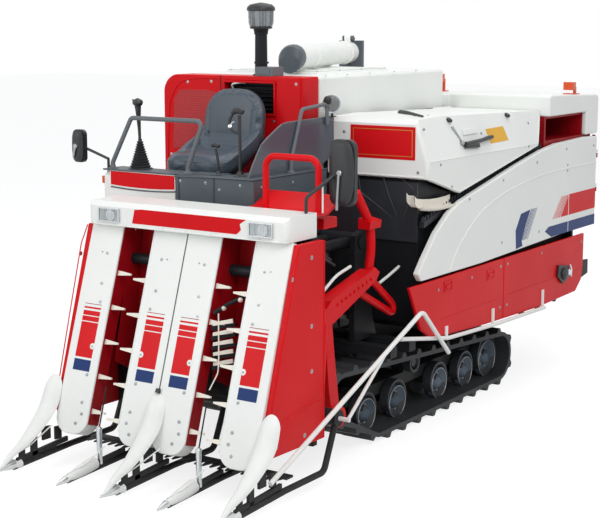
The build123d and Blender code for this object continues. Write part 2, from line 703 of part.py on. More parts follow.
def marker_lamps():
    """Orange marker lamps that stand on posts on the rear cover."""
    solids = []
    for x, y, post in ((20, 1460, 60), (820, 1850, 22)):
        foot = roof_height(y - 20) + SEAT
        plate = block((x - 45, x + 45), (y - 20, y + 60), (foot, foot + 6))
        stem = block((x + 12, x + 30), (y + 20, y + 36), (foot, foot + 6 + post + 20))
        arm = block((x - 10, x + 30), (y, y + 36), (foot + 6 + post, foot + 12 + post))
        solids.append(plate + stem + arm + block((x - 36, x + 36), (y - 34, y + 12), (foot + 6 + post, foot + 60 + post)))
    return solids


def track_guard_rod():
    """White rod that keeps straw off the left track."""
    x = BODY_LEFT + 15
    points = [(x, -580, 640), (x, -20, 540), (x, 590, 510), (x, 1340, 490)]
    rail = pipe(points, 12, 60)
    for y, z in ((-20, 540), (590, 510), (1330, 491)):
        rail += block((BODY_LEFT, BODY_LEFT + 8), (y - 14, y + 14), (z - 8, 610))
    return [rail]


def row_cases():
    """Four leaning cases that lift the crop, the middle two side by side."""
    solids = []
    offsets = (-CASE_WIDTH * 1.5 - PASSAGE, -CASE_WIDTH / 2, CASE_WIDTH / 2, CASE_WIDTH * 1.5 + PASSAGE)
    top = slope(COVER_Z[0])
    bottom = slope(CASE_BOTTOM_Z)
    for offset in offsets:
        length = top - bottom
        shape = Rectangle(CASE_WIDTH - 1, length)
        shape = fillet(shape.vertices().group_by(Axis.Y)[0], 90)
        body = extrude(shape, amount=-CASE_DEPTH)
        body = Plane(origin=leaning(0, bottom + length / 2), x_dir=(1, 0, 0), z_dir=leaning_normal()) * body
        solids.append(Pos(HEADER_X + offset, 0, 0) * body)
    return solids


def leaning_normal():
    """Direction out of the leaning front."""
    angle = atan(LEAN)
    return (0, -cos(angle), sin(angle))


def row_tines():
    """Lifting tines that reach into the crop passages."""
    solids = []
    for middle in (-CASE_WIDTH - PASSAGE / 2, CASE_WIDTH + PASSAGE / 2):
        for side in (-1, 1):
            wall = HEADER_X + middle + side * (PASSAGE / 2 + 0.5)
            for number in range(TINE_ROWS):
                along = slope(TINE_FOOT_Z + TINE_PITCH * number - (22 if side > 0 else 0))
                outline = ((0, -14), (0, 14), (-side * TINE_REACH, 5), (-side * TINE_REACH, -5))
                tine = extrude(Polygon(*outline, align=None), amount=12)
                place = Plane(origin=leaning(wall, along, -18), x_dir=(1, 0, 0), z_dir=leaning_normal())
                solids.append(place * tine)
    return solids


def header_cover():
    """White cover across the top of the header."""
    outline = (
        (COVER_Y[0], COVER_Z[0]), (COVER_Y[0], COVER_Z[1] - 25), (COVER_Y[0] + 30, COVER_Z[1]),
        (COVER_Y[1], COVER_Z[1]), (COVER_Y[1], COVER_Z[0]),
    )
    cover = side_plate(outline, (HEADER_X - COVER_HALF, HEADER_X + COVER_HALF))
    upright = cover.edges().filter_by(Axis.Z).group_by(Axis.Y)[0]
    return [fillet(upright, 32)]


def header_lamps():
    """Rectangular lamps in the header's cover."""
    solids = []
    for offset in (-500, 500):
        x = HEADER_X + offset
        solids.append(block((x - 72, x + 72), (COVER_Y[0] - 14, COVER_Y[0]), (1310, 1385)))
    return solids


def header_side_panels():
    """Red panels that close the header at both ends."""
    outline = ((-1270, 240), (-1740, 250), (-1795, 300), (-1495, 1280), (-1270, 1280))
    inner = HEADER_HALF - PANEL_THICK
    left = side_plate(outline, (HEADER_X + inner, HEADER_X + HEADER_HALF))
    right = side_plate(outline, (HEADER_X - HEADER_HALF, HEADER_X - inner))
    return [left, right]


def header_frame():
    """Tubular frame of the header with its pivot tube, arms and divider pipes."""
    inner = HEADER_HALF - PANEL_THICK
    y, z, radius = MAIN_TUBE
    beam = (COVER_Z[0] - 50, COVER_Z[0])
    frame = rod((HEADER_X - MAIN_REACH, y, z), (HEADER_X + MAIN_REACH, y, z), radius)
    frame += block((HEADER_X - inner, HEADER_X + inner), (POST_Y[0] - 5, POST_Y[1] + 5), beam)
    drive = leaning(0, 1200, -CASE_DEPTH - 30 - SEAT)
    frame += rod((HEADER_X - inner, drive[1], drive[2]), (HEADER_X + inner, drive[1], drive[2]), 30)
    for offset in (-inner + 25, -200, 200, inner - 25):
        wide = (HEADER_X + offset - 25, HEADER_X + offset + 25)
        frame += block(wide, POST_Y, (200, beam[0]))
        frame += block(wide, (POST_Y[0], y), (z - 20, z + 20))
        frame += block(wide, (drive[1], POST_Y[0]), (drive[2] - 12, drive[2] + 12))
    frame += block((HEADER_X - 200, HEADER_X + inner), POST_Y, (PIVOT_Z - 20, PIVOT_Z + 20))
    for x in (PIVOT_POSTS[0] + 55, PIVOT_POSTS[1] - 60):
        frame += rod((x, POST_Y[1] - 10, PIVOT_Z), (x, PIVOT_Y, PIVOT_Z), 30)
    frame += rod((PIVOT_POSTS[0] + 24, PIVOT_Y, PIVOT_Z), (PIVOT_POSTS[1] - 24, PIVOT_Y, PIVOT_Z), PIVOT_R + 14)
    frame += rod((PIVOT_POSTS[0] - 28, PIVOT_Y, PIVOT_Z), (PIVOT_POSTS[1] + 28, PIVOT_Y, PIVOT_Z), PIVOT_R)
    eye_y, eye_z = CYLINDER_EYE
    for x in (CYLINDER_X - 46, CYLINDER_X + 26):
        ear = ((y - 30, z), (y + 30, z), (eye_y + 30, eye_z - 20), (eye_y + 22, eye_z + 28), (eye_y - 24, eye_z + 28))
        frame += side_plate(ear, (x, x + 20))
    for offset in DIVIDERS:
        frame += divider_pipe(HEADER_X + offset, DIVIDER_PIPE_R)
    for offset in DIVIDERS[::2]:
        frame += divider_strut(HEADER_X + offset)
    frame -= Pos(0, *CYLINDER_EYE) * Rot(0, 90, 0) * Cylinder(PIN_R + EYE_GAP, 3000)
    return [frame]


def divider_pipe(x, radius):
    """Pipe from the main tube under the knife to a divider's tip."""
    low = KNIFE_Z[0] - DIVIDER_PIPE_R - SEAT
    y, z = MAIN_TUBE[:2]
    return pipe([(x, y, z), (x, y - 120, low), (x, -1650, low), (x, FRONT_REACH + 120, 50)], radius, 50)


def large_dividers():
    """Three shoe-shaped dividers: smooth shells that sweep from the row cases down to a long tip."""
    solids = []
    spine = (
        (-1732, 486, 26, 10), (-1752, 462, 47, 24), (-1784, 410, 61, 34), (-1814, 340, 64, 38), (-1872, 268, 59, 36),
        (-1960, 196, 47, 30), (-2050, 142, 32, 24), (-2130, 102, 19, 18), (FRONT_REACH + 6, 64, 3, 6),
    )
    for offset in (DIVIDERS[0], DIVIDERS[2], DIVIDERS[4]):
        x = HEADER_X + offset
        faces = []
        for number, (y, z, half, bulge) in enumerate(spine):
            before = spine[max(number - 1, 0)]
            after = spine[min(number + 1, len(spine) - 1)]
            run = Vector(0, after[0] - before[0], after[1] - before[1])
            section = Plane(origin=(x, y, z), x_dir=(1, 0, 0), z_dir=run)
            arc = ThreePointArc((-half, 0), (0, bulge), (half, 0))
            foot = ThreePointArc((half, 0), (0, -bulge * 0.4), (-half, 0))
            faces.append(section * make_face([arc, foot]))
        shell = loft(faces)
        shell += Plane(origin=(x, FRONT_REACH, 58), z_dir=(0, 1, 0)) * Cone(
            4, 25, 170, align=(Align.CENTER, Align.CENTER, Align.MIN))
        shell -= divider_pipe(x, DIVIDER_PIPE_R + SEAT) + divider_strut(x, SEAT)
        behind = Plane(origin=leaning(x, 0, SEAT), x_dir=(1, 0, 0), z_dir=leaning_normal())
        solids.append(shell - behind * Box(400, 3000, 1000, align=(Align.CENTER, Align.CENTER, Align.MAX)))
    return solids


def divider_strut(x, grow=0):
    """Upright strut between a divider's pipe and its shoe."""
    return block((x - 9 - grow, x + 9 + grow), (-1965 - grow, -1925 + grow), (60, 225 + grow))


def small_dividers():
    """Two slim pointed dividers in the crop passages."""
    solids = []
    profile = Spline((3, 0), (16, 70), (30, 180), (34, 290))
    nose = make_face([profile, Polyline((34, 290), (0, 290), (0, 0), (3, 0))])
    nose = revolve(Plane.XZ * nose, axis=Axis.Z)
    for offset in (DIVIDERS[1], DIVIDERS[3]):
        x = HEADER_X + offset
        place = Plane(origin=(x, FRONT_REACH + 40, 44), z_dir=(0, 1, 0.16))
        solids.append(place * nose - divider_pipe(x, DIVIDER_PIPE_R + SEAT))
    return solids


def knife_bar():
    """Cutter bar with triangular knife sections."""
    half = CASE_WIDTH * 2 + PASSAGE
    bar = block((HEADER_X - half, HEADER_X + half), (-1560, -1500), KNIFE_Z)
    count = int(2 * half / KNIFE_PITCH)
    for number in range(count):
        x = HEADER_X + (number - (count - 1) / 2) * KNIFE_PITCH
        tooth = Polygon((x - 5, -1625), (x + 5, -1625), (x + 22, -1558), (x - 22, -1558), align=None)
        bar += Pos(0, 0, KNIFE_Z[0] + 3) * extrude(tooth, amount=6, dir=(0, 0, 1))
    return [bar]


def inner_shields():
    """Dark red shields behind the crop passages."""
    solids = []
    for middle in (DIVIDERS[1], DIVIDERS[3]):
        x = HEADER_X + middle
        front = POST_Y[0] - 5
        outline = ((-1440, 560), (-1420, 560), (front, 1245), (front, 1280), (front - 20, 1280))
        solids.append(side_plate(outline, (x - 100, x + 100)))
    return solids


def stem_conveyor():
    """Star wheels above the knife, hung from a deck plate in each crop passage."""
    solids = []
    star = Circle(64)
    for number in range(8):
        star += Rot(0, 0, 45 * number) * Polygon((55, -18), (96, -4), (96, 8), (55, 18), align=None)
    for middle in (DIVIDERS[1], DIVIDERS[3]):
        x = HEADER_X + middle
        deck = block((x - PASSAGE / 2 + 1, x + PASSAGE / 2 - 1), (-1600, POST_Y[1]), (212, 220))
        deck += Pos(x, -1490, 180) * extrude(star, amount=26)
        solids.append(deck + rod((x, -1490, 200), (x, -1490, 214), 14))
    return solids


def crop_elevator():
    """Slanted chain case that lifts the crop to the feed chain, with its column, gear drum and tension loop."""
    front = POST_Y[1]
    outline = (
        (front, 800), (front, 880), (-1144, 892), (-1100, 926), (-680, 1030), (-605, 1012), (-640, 968), (-1087, 800),
    )
    case = side_plate(outline, (700, 785))
    for number in range(9):
        y = -1040 + number * 42
        z = 898 + number * 10.5
        case -= rod((680, y, z), (706, y, z), 10)
        case -= rod((779, y, z), (800, y, z), 10)
    y, z, radius = MAIN_TUBE
    column = rod((760, y - 6, z + radius), (760, -1150, 810), 30)
    near = (TRACK_GAUGE + BELT_WIDTH) / 2 + 15
    column += rod((near, y + 135, z - 38), (near + 65, y + 135, z - 38), 56)
    column += block((near, near + 35), (y + 20, y + 120), (z - 40, z + 10))
    column -= rod((0, y, z), (1000, y, z), radius + SEAT)
    loop = pipe([(742, -800, 935), (742, -390, 728), (742, -380, 790), (742, -655, 982)], 11, 24)
    return [case + column + loop]


def crop_guide_rod():
    """White rod outside the header that parts the standing crop."""
    x = GUIDE_ROD_X
    main = pipe([(x, -1880, 180), (x, -400, 770), (x, -80, 470)], GUIDE_ROD_R, 60)
    y, z = MAIN_TUBE[:2]
    main += rod((x, -800, 610), (x, y, z), 10)
    return [main + rod((HEADER_X + MAIN_REACH, y, z), (x + 10, y, z), 12)]


def guard_hoop():
    """Red hoop over the header's left rear corner."""
    foot = HOOD_PLATE_Z
    return [pipe([(440, -1200, foot), (440, -1200, 1680), (770, -1200, 1680), (770, -1200, foot)], 17, 60)]


def header_back_cover():
    """Red sloping cover behind the header's top cover."""
    front = POST_Y[1] + 5
    top = HOOD_PLATE_Z
    outline = (
        (front, 1245), (front, top), (-1150, top), (-1000, top + 70), (-1000, top + 55), (-1150, top - 15),
        (front + 15, top - 15), (front + 15, 1245),
    )
    return [side_plate(outline, (320, 800))]


def mirror_left():
    """Left mirror on its stalk."""
    foot = COVER_Z[1]
    x = HEADER_X + COVER_HALF - 29
    stalk = pipe([(x, -1330, foot), (x, -1330, foot + 80), (LEFT_REACH - 95, -1135, foot + 204)], 9, 30)
    head = block((LEFT_REACH - 150, LEFT_REACH), (-1150, -1122), (foot + 24, foot + 364))
    return [stalk + fillet(head.edges().filter_by(Axis.Y), 44)]


def lift_cylinder_barrel():
    """Barrel of the header's lift cylinder."""
    return cylinder_parts()[:1]


def lift_cylinder_rod():
    """Piston rod of the header's lift cylinder."""
    return cylinder_parts()[1:]


def cylinder_parts():
    """Barrel and rod along the line between the two pins."""
    foot = Vector(CYLINDER_X, *CYLINDER_FOOT)
    eye = Vector(CYLINDER_X, *CYLINDER_EYE)
    run = (eye - foot).normalized()
    reach = (eye - foot).length
    cross = Vector(1, 0, 0)
    barrel = rod(tuple(foot + run * 24), tuple(foot + run * (reach - 60)), CYLINDER_R)
    barrel += rod(tuple(foot - cross * 24), tuple(foot + cross * 24), 30)
    barrel -= rod(tuple(foot + run * 60), tuple(foot + run * (reach - 59)), PISTON_R + SEAT)
    barrel += rod(tuple(foot - cross * 56), tuple(foot + cross * 56), PIN_R)
    piston = rod(tuple(foot + run * 70), tuple(eye - run * 20), PISTON_R)
    piston += rod(tuple(eye - cross * 22), tuple(eye + cross * 22), 28)
    piston += rod(tuple(eye - cross * 42), tuple(eye + cross * 42), PIN_R)
    return [barrel, piston]


def node_list():
    """All named sub-parts with their solids."""
    nodes = {}
    belt = track()
    wheels = rollers()[0]
    frame = roller_frame()
    drive = sprocket()
    for side, flip in (("left", False), ("right", True)):
        turn = (lambda shape: mirror(shape, about=Plane.YZ)) if flip else (lambda shape: shape)
        nodes["track_" + side] = [turn(belt)]
        nodes["track_rollers_" + side] = [turn(item) for item in wheels]
        nodes["roller_frame_" + side] = [turn(frame)]
        nodes["drive_sprocket_" + side] = [turn(drive)]
    makers = (
        transmission_case, chassis_frame, threshing_housing, threshing_drum, threshing_cover, inlet_curtain, feed_chain,
        side_skirt, side_cover, rear_cover, straw_cutter, rear_frame, grain_tank, auger_column, auger_elbow,
        auger_tube, engine_block, operator_deck, front_console, side_console, steering_lever, shift_levers,
        front_handrail, mirror_right, seat_base, operator_seat, engine_hood, radiator_cover, pre_cleaner,
        side_guard_panel, side_grab_rail, work_lamp, marker_lamps, track_guard_rod, row_cases, row_tines,
        header_cover, header_lamps, header_side_panels, header_frame, large_dividers,
        small_dividers, knife_bar, inner_shields, stem_conveyor, crop_elevator, crop_guide_rod, guard_hoop,
        header_back_cover, mirror_left, lift_cylinder_barrel, lift_cylinder_rod,
    )
    for maker in makers:
        nodes[maker.__name__] = maker()
    return nodes


os.makedirs("parts", exist_ok=True)
for name, solids in node_list().items():
    placed = [Pos(-MIDDLE_X, -MIDDLE_Y, 0) * solid for solid in solids]
    export_step(Compound(children=placed), "parts/" + name + ".step")
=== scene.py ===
"""Four-row crawler combine harvester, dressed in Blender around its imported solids, in metres."""
import bpy
import bmesh
import json
from math import atan, cos, exp, pi, radians, sin
from mathutils import Matrix, Vector
from mathutils.kdtree import KDTree


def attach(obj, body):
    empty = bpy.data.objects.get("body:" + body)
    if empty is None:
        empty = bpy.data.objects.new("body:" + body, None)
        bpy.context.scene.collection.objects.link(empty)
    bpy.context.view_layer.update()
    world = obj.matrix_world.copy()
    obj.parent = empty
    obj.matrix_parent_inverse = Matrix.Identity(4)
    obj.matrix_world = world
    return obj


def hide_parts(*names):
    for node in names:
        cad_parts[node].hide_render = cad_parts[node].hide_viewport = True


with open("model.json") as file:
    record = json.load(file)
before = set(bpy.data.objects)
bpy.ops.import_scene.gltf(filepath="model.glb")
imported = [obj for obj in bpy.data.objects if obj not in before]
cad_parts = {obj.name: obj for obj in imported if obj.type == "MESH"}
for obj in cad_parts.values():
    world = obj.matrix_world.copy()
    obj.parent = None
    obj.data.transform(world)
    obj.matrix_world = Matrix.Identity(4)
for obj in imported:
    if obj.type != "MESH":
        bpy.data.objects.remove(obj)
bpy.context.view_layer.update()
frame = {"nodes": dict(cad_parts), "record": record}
scene = bpy.context.scene


# Shader nodes. The studio and every material are built from these few calls, which make a node and feed
# its inputs with values or with the sockets of other nodes.
def feed(tree, node, inputs):
    """Give each input of a node its value, or link it to the socket that feeds it."""
    for name, value in inputs.items():
        if isinstance(value, bpy.types.NodeSocket):
            tree.links.new(value, node.inputs[name])
        else:
            node.inputs[name].default_value = value


def add_node(tree, kind, inputs=None, **settings):
    """Shader node with its settings and inputs."""
    node = tree.nodes.new("ShaderNode" + kind)
    for setting, value in settings.items():
        setattr(node, setting, value)
    feed(tree, node, inputs or {})
    return node


def math_node(tree, operation, first, second):
    """Sum, product or other operation on two values or sockets."""
    return add_node(tree, "Math", {0: first, 1: second}, operation=operation).outputs[0]


def noise_node(tree, place, scale, detail=4.0):
    """Noise texture that reads the object's own coordinates."""
    return add_node(tree, "TexNoise", {"Vector": place, "Scale": scale, "Detail": detail}).outputs["Fac"]


def span_node(tree, value, low, high, start=0.0, end=1.0):
    """Value brought from one range to another, held at its ends."""
    limits = {"Value": value, "From Min": low, "From Max": high, "To Min": start, "To Max": end}
    return add_node(tree, "MapRange", limits).outputs["Result"]


def mix_colour(tree, share, first, second):
    """Colour mix; first and second are colours or sockets."""
    return add_node(tree, "Mix", {"Factor": share, 6: first, 7: second}, data_type="RGBA").outputs[2]


def bump(tree, shader, height, strength, depth):
    """Relief on the shader's normal."""
    relief = add_node(tree, "Bump", {"Strength": strength, "Distance": depth, "Height": height})
    feed(tree, shader, {"Normal": relief.outputs["Normal"]})


def object_spot(tree):
    """The object's own coordinates."""
    return add_node(tree, "TexCoord").outputs["Object"]


# The studio. A pale floor under soft light, and the camera where the photographer stood: in front of
# the machine's left corner, about seven metres off and a little above its deck.
scene.view_settings.view_transform = "Standard"
CAMERA_PLACE = (4.682, -7.140, 2.379)
CAMERA_TURN = radians(34)
CAMERA_TILT = radians(9.71)
LENS = 84
SENSOR_WIDTH = 36
FLOOR_REACH = 40


def stand(name, data, place, looking):
    """Camera or lamp that stands at a place and looks along a direction."""
    made = bpy.data.objects.new(name, data)
    turn = looking.to_track_quat("-Z", "Y").to_matrix().to_4x4()
    made.matrix_world = Matrix.Translation(place) @ turn
    scene.collection.objects.link(made)
    return made


def soft_lamp(name, place, aim, size, power):
    """Large square lamp that faces a point of the machine."""
    lamp = bpy.data.lights.new(name, "AREA")
    lamp.size = size
    lamp.energy = power
    stand(name, lamp, place, Vector(aim) - Vector(place))


def lit_and_seen(tree, light, view, output):
    """Let one shader light the machine, and show another to rays that come from the camera."""
    path = add_node(tree, "LightPath").outputs
    seen = math_node(tree, "MAXIMUM", path["Is Camera Ray"], path["Is Glossy Ray"])
    seen = math_node(tree, "MAXIMUM", seen, path["Is Transmission Ray"])
    mix = add_node(tree, "MixShader", {"Fac": seen, 1: light.outputs[0], 2: view.outputs[0]})
    add_node(tree, output, {"Surface": mix.outputs[0]})


camera_data = bpy.data.cameras.new("photo_camera")
camera_data.lens = LENS
camera_data.sensor_width = SENSOR_WIDTH
camera_data.sensor_fit = "HORIZONTAL"
ahead = Vector((-sin(CAMERA_TURN), cos(CAMERA_TURN), 0)) * cos(CAMERA_TILT)
scene.camera = stand("photo_camera", camera_data, CAMERA_PLACE, ahead - Vector((0, 0, sin(CAMERA_TILT))))
soft_lamp("key_lamp", (5.5, -5.0, 6.5), (0, 0, 0.8), 4.5, 300)
soft_lamp("front_lamp", (-3.5, -7.5, 4.0), (0, -1, 0.9), 4.0, 150)
soft_lamp("top_lamp", (0.5, 1.5, 8.0), (0, 0, 0), 6.0, 190)

world = bpy.data.worlds.new("studio_air")
world.use_nodes = True
scene.world = world
air = world.node_tree
air.nodes.clear()
cool_air = add_node(air, "Background", {"Color": (0.93, 0.96, 1.0, 1), "Strength": 0.5})
white_air = add_node(air, "Background", {"Color": (1, 1, 1, 1), "Strength": 1.0})
lit_and_seen(air, cool_air, white_air, "OutputWorld")

floor_mesh = bpy.data.meshes.new("studio_floor")
floor_corners = [(x * FLOOR_REACH, y * FLOOR_REACH, 0) for x, y in ((-1, -1), (1, -1), (1, 1), (-1, 1))]
floor_mesh.from_pydata(floor_corners, [], [(0, 1, 2, 3)])
floor = bpy.data.objects.new("studio_floor", floor_mesh)
scene.collection.objects.link(floor)
floor_paint = bpy.data.materials.new("studio_floor")
floor_paint.use_nodes = True
ground = floor_paint.node_tree
ground.nodes.clear()
plain = add_node(ground, "BsdfDiffuse", {"Color": (0.7, 0.7, 0.7, 1)})
shaded = add_node(ground, "BsdfDiffuse", {"Color": (0.35, 0.35, 0.35, 1)})
glow = add_node(ground, "Emission", {"Strength": 0.8})
bright = add_node(ground, "AddShader", {0: shaded.outputs[0], 1: glow.outputs[0]})
lit_and_seen(ground, plain, bright, "OutputMaterial")
floor_mesh.materials.append(floor_paint)


# Painted sheet steel. Body panels are pressed from sheet, primed and sprayed with gloss enamel. The
# finish has a fine orange peel, slight shade changes, rubbed edges and dust towards the ground.
DUST = "85827B"
DUST_HEIGHT = 0.6
CLOUD_SCALE = 2.2
RUBBED_SHARE = 0.55


def new_group(name, inputs, outputs):
    """Empty shader node group with named value inputs and named outputs."""
    group = bpy.data.node_groups.new(name, "ShaderNodeTree")
    for socket, value in inputs.items():
        made = group.interface.new_socket(socket, in_out="INPUT", socket_type="NodeSocketFloat")
        made.default_value = value
    for socket in outputs:
        group.interface.new_socket(socket, in_out="OUTPUT", socket_type="NodeSocketFloat")
    return group, group.nodes.new("NodeGroupInput").outputs, group.nodes.new("NodeGroupOutput")


weathering, weather, weather_out = new_group(
    "paint_weathering", {"Cloud Scale": 3.0, "Dust Height": 0.5}, ("Shade", "Dust", "Rub", "Peel"),
)
spot = object_spot(weathering)
height = add_node(weathering, "SeparateXYZ", {0: spot}).outputs["Z"]
low_down = math_node(weathering, "DIVIDE", height, weather["Dust Height"])
speckle = noise_node(weathering, spot, 14.0, 8.0)
bevelled = add_node(weathering, "Bevel", {"Radius": 0.004}, samples=4).outputs["Normal"]
true_normal = add_node(weathering, "NewGeometry").outputs["Normal"]
facing = add_node(weathering, "VectorMath", {0: bevelled, 1: true_normal}, operation="DOT_PRODUCT")
edge = span_node(weathering, facing.outputs["Value"], 0.985, 0.80)
scratch = span_node(weathering, noise_node(weathering, spot, 30.0, 6.0), 0.5, 0.68)
feed(weathering, weather_out, {
    "Shade": span_node(weathering, noise_node(weathering, spot, weather["Cloud Scale"]), 0.3, 0.7),
    "Dust": math_node(weathering, "MULTIPLY", span_node(weathering, low_down, 0.0, 1.0, 1.0, 0.0), speckle),
    "Rub": math_node(weathering, "MULTIPLY", edge, scratch),
    "Peel": noise_node(weathering, spot, 420.0, 2.0),
})


def tone(code):
    """Linear colour from a six-digit code."""
    parts = [int(code[i:i + 2], 16) / 255 for i in (0, 2, 4)]
    return (*[p / 12.92 if p <= 0.04045 else ((p + 0.055) / 1.055) ** 2.4 for p in parts], 1.0)


def new_material(name):
    """Material with one Principled shader, and its node tree."""
    material = bpy.data.materials.new(name)
    material.use_nodes = True
    return material, material.node_tree, material.node_tree.nodes["Principled BSDF"]


def enamel(name, colour, shade, rubbed, rough=0.3, metal=0.0, coat=0.04, dust=0.2, peel=0.06):
    """Sprayed paint: its colour, the colour it fades to and what shows at rubbed edges."""
    material, tree, shader = new_material(name)
    clouds = {"Cloud Scale": CLOUD_SCALE, "Dust Height": DUST_HEIGHT}
    wear = add_node(tree, "Group", clouds, node_tree=weathering).outputs
    base = mix_colour(tree, wear["Shade"], tone(colour), tone(shade))
    base = mix_colour(tree, math_node(tree, "MULTIPLY", wear["Rub"], RUBBED_SHARE), base, tone(rubbed))
    base = mix_colour(tree, math_node(tree, "MULTIPLY", wear["Dust"], dust), base, tone(DUST))
    dull = math_node(tree, "ADD", math_node(tree, "MULTIPLY", wear["Dust"], 0.4), rough)
    dull = math_node(tree, "ADD", dull, math_node(tree, "MULTIPLY", wear["Shade"], 0.06))
    feed(tree, shader, {
        "Base Color": base, "Roughness": dull, "Metallic": metal, "Coat Weight": coat,
        "Specular IOR Level": 0.5 if metal > 0.3 else 0.12, "Coat Roughness": 0.12,
    })
    bump(tree, shader, wear["Peel"], peel, 0.0006)
    return material


PAINTS = {
    "white_paint": enamel("white_enamel", "F1F2EE", "ECEEEA", "C9CAC4", rough=0.34, dust=0.22, coat=0.1),
    "red_paint": enamel("red_enamel", "DA0F18", "D00C15", "B03A34", rough=0.36),
    "dark_red_paint": enamel("dark_red_enamel", "A30F1A", "900C16", "7A3A36", rough=0.4, coat=0.05),
    "black_paint": enamel("black_enamel", "1B1C1F", "222427", "55565A", rough=0.42, coat=0.05),
    "grey_paint": enamel("grey_enamel", "71777B", "686E72", "9A9EA0", rough=0.38, coat=0.1),
    "dark_steel": enamel(
        "dark_steel", "30353B", "262A30", "6C7074", rough=0.45, metal=0.35, coat=0.0, dust=0.22,
    ),
    "polished_steel": enamel("bare_steel", "A9ACAE", "96999B", "C8CACB", metal=0.9, coat=0.0),
}
BLUE_PAINT = enamel("blue_enamel", "143470", "123068", "45618F")
CHROME = enamel(
    "chromed_bowl", "D4D8DA", "C6CACD", "E6E8E9", rough=0.12, metal=0.95, coat=0.0, dust=0.1, peel=0.02,
)
BOWL = enamel(
    "silvered_bowl", "DFE4E7", "CDD3D7", "EEF0F1", rough=0.22, metal=0.45, coat=0.0, dust=0.05, peel=0.02,
)
GILT = enamel("gilt_line", "C8A24E", "BD9440", "D8BC78", rough=0.35, metal=0.6)
YELLOW_PAINT = enamel("yellow_enamel", "E9B342", "E2A836", "F0CB78", rough=0.4, coat=0.05)
WHEEL_PAINT = enamel("wheel_enamel", "6E7B88", "4C5864", "A9B0B6", rough=0.42, metal=0.2, coat=0.0, dust=0.12)


# Plastic and rubber. Consoles, boots and mirror backs are moulded with a fine leather grain, and the
# belts and curtains are matt rubber that greys where dust lies in the grain.
moulding, mould, mould_out = new_group("moulded_grain", {"Grain Scale": 260.0}, ("Grain", "Haze"))
spot = object_spot(moulding)
cell_inputs = {"Randomness": 0.9, "Vector": spot, "Scale": mould["Grain Scale"]}
feed(moulding, mould_out, {
    "Grain": add_node(moulding, "TexVoronoi", cell_inputs).outputs["Distance"],
    "Haze": span_node(moulding, noise_node(moulding, spot, 5.0, 6.0), 0.35, 0.7),
})


def grained(name, grain_scale, rough, haze_rough):
    """Material whose roughness follows the haze of the moulded grain."""
    material, tree, shader = new_material(name)
    grain = add_node(tree, "Group", {"Grain Scale": grain_scale}, node_tree=moulding).outputs
    dull = math_node(tree, "ADD", math_node(tree, "MULTIPLY", grain["Haze"], haze_rough), rough)
    feed(tree, shader, {"Roughness": dull})
    return material, tree, shader, grain


def moulded(name, colour, hazed, rough=0.5, grain_scale=260.0, relief=0.25, depth=0.0006, haze=0.7):
    """Grained plastic, rubber or vinyl."""
    material, tree, shader, grain = grained(name, grain_scale, rough, 0.12)
    share = math_node(tree, "MULTIPLY", grain["Haze"], haze)
    feed(tree, shader, {"Base Color": mix_colour(tree, share, tone(colour), tone(hazed))})
    bump(tree, shader, grain["Grain"], relief, depth)
    return material


def clear_sheet(name, colour, rough, clear):
    """Clear or smoked plastic that light passes through."""
    material, tree, shader, grain = grained(name, 40.0, rough, 0.08)
    base = mix_colour(tree, grain["Haze"], tone(colour), tone(colour))
    feed(tree, shader, {"Base Color": base, "Transmission Weight": clear, "IOR": 1.3})
    bump(tree, shader, grain["Grain"], 0.03, 0.001)
    return material


MOULDINGS = {
    "track_rubber": moulded("track_rubber", "1E2022", "34363A", 0.62, 90.0, relief=0.3, depth=0.002),
    "curtain_rubber": moulded("curtain_rubber", "23262B", "2E3238", 0.45, 60.0, relief=0.1, haze=0.9),
    "grey_plastic": moulded("grey_plastic", "4A545B", "434C53", 0.4),
    "black_plastic": moulded("black_plastic", "1D1F22", "26282B", 0.42),
    "cream_plastic": moulded("cream_plastic", "EFE9DC", "E2DACA", 0.4),
    "seat_vinyl": moulded("seat_vinyl", "3E4954", "46525E", 0.36, 420.0, relief=0.35),
    "smoked_plastic": moulded("smoked_sheet", "565B66", "4C515C", 0.14, relief=0.03),
    "orange_lens": moulded("orange_lens", "E2531F", "D54413", 0.12, relief=0.02),
    "lamp_lens": moulded("lamp_lens", "C9CFD0", "B7BEC0", 0.08, 120.0, relief=0.3),
}
LAMP_GLASS = clear_sheet("fluted_lens", "EDF1F1", 0.05, 0.85)
CLEAR_BOWL = clear_sheet("clear_bowl", "9FA6AA", 0.12, 0.55)


# Perforated sheet. The grille beside the seat and the radiator screen are sheets with rows of small round
# holes painted on; each hole is filled with a dark colour that is painted shade, for the dark seen through
# it.
def perforated(name, metal, hole_shade, pitch):
    """Painted sheet with rows of small round holes, whose dark hole colour is painted shade."""
    material, tree, shader = new_material(name)
    axes = add_node(tree, "SeparateXYZ", {0: object_spot(tree)}).outputs
    scaled = [math_node(tree, "MULTIPLY", axes[axis], 2 * pi / pitch) for axis in "XYZ"]
    waves = [math_node(tree, "COSINE", wave, 0.0) for wave in scaled]
    across = math_node(tree, "MULTIPLY", waves[0], waves[2])
    along = math_node(tree, "MULTIPLY", waves[1], waves[2])
    mask = span_node(tree, math_node(tree, "MAXIMUM", across, along), 0.25, 0.45)
    wear = add_node(tree, "Group", node_tree=weathering).outputs
    base = mix_colour(tree, wear["Shade"], tone(metal), tone(metal))
    # The holes take a dark colour that is painted shade, for the dark seen through them.
    feed(tree, shader, {"Base Color": mix_colour(tree, mask, base, tone(hole_shade)), "Roughness": 0.4})
    bump(tree, shader, math_node(tree, "SUBTRACT", 1.0, mask), 0.6, 0.002)
    return material


# The second colour of each sheet is the painted shade in its holes.
RED_GRILLE = perforated("perforated_red_sheet", "D0121B", "8E0D15", 0.011)
DARK_GRILLE = perforated("perforated_dark_sheet", "2C2F33", "08090A", 0.009)
FINISHES = PAINTS | MOULDINGS
for subpart in frame["record"]["subparts"]:
    for slot in frame["nodes"][subpart["node"]].material_slots:
        slot.material = FINISHES[subpart["material_slot"]]
for slot in frame["nodes"]["small_dividers"].material_slots:
    slot.material = FINISHES["white_paint"]


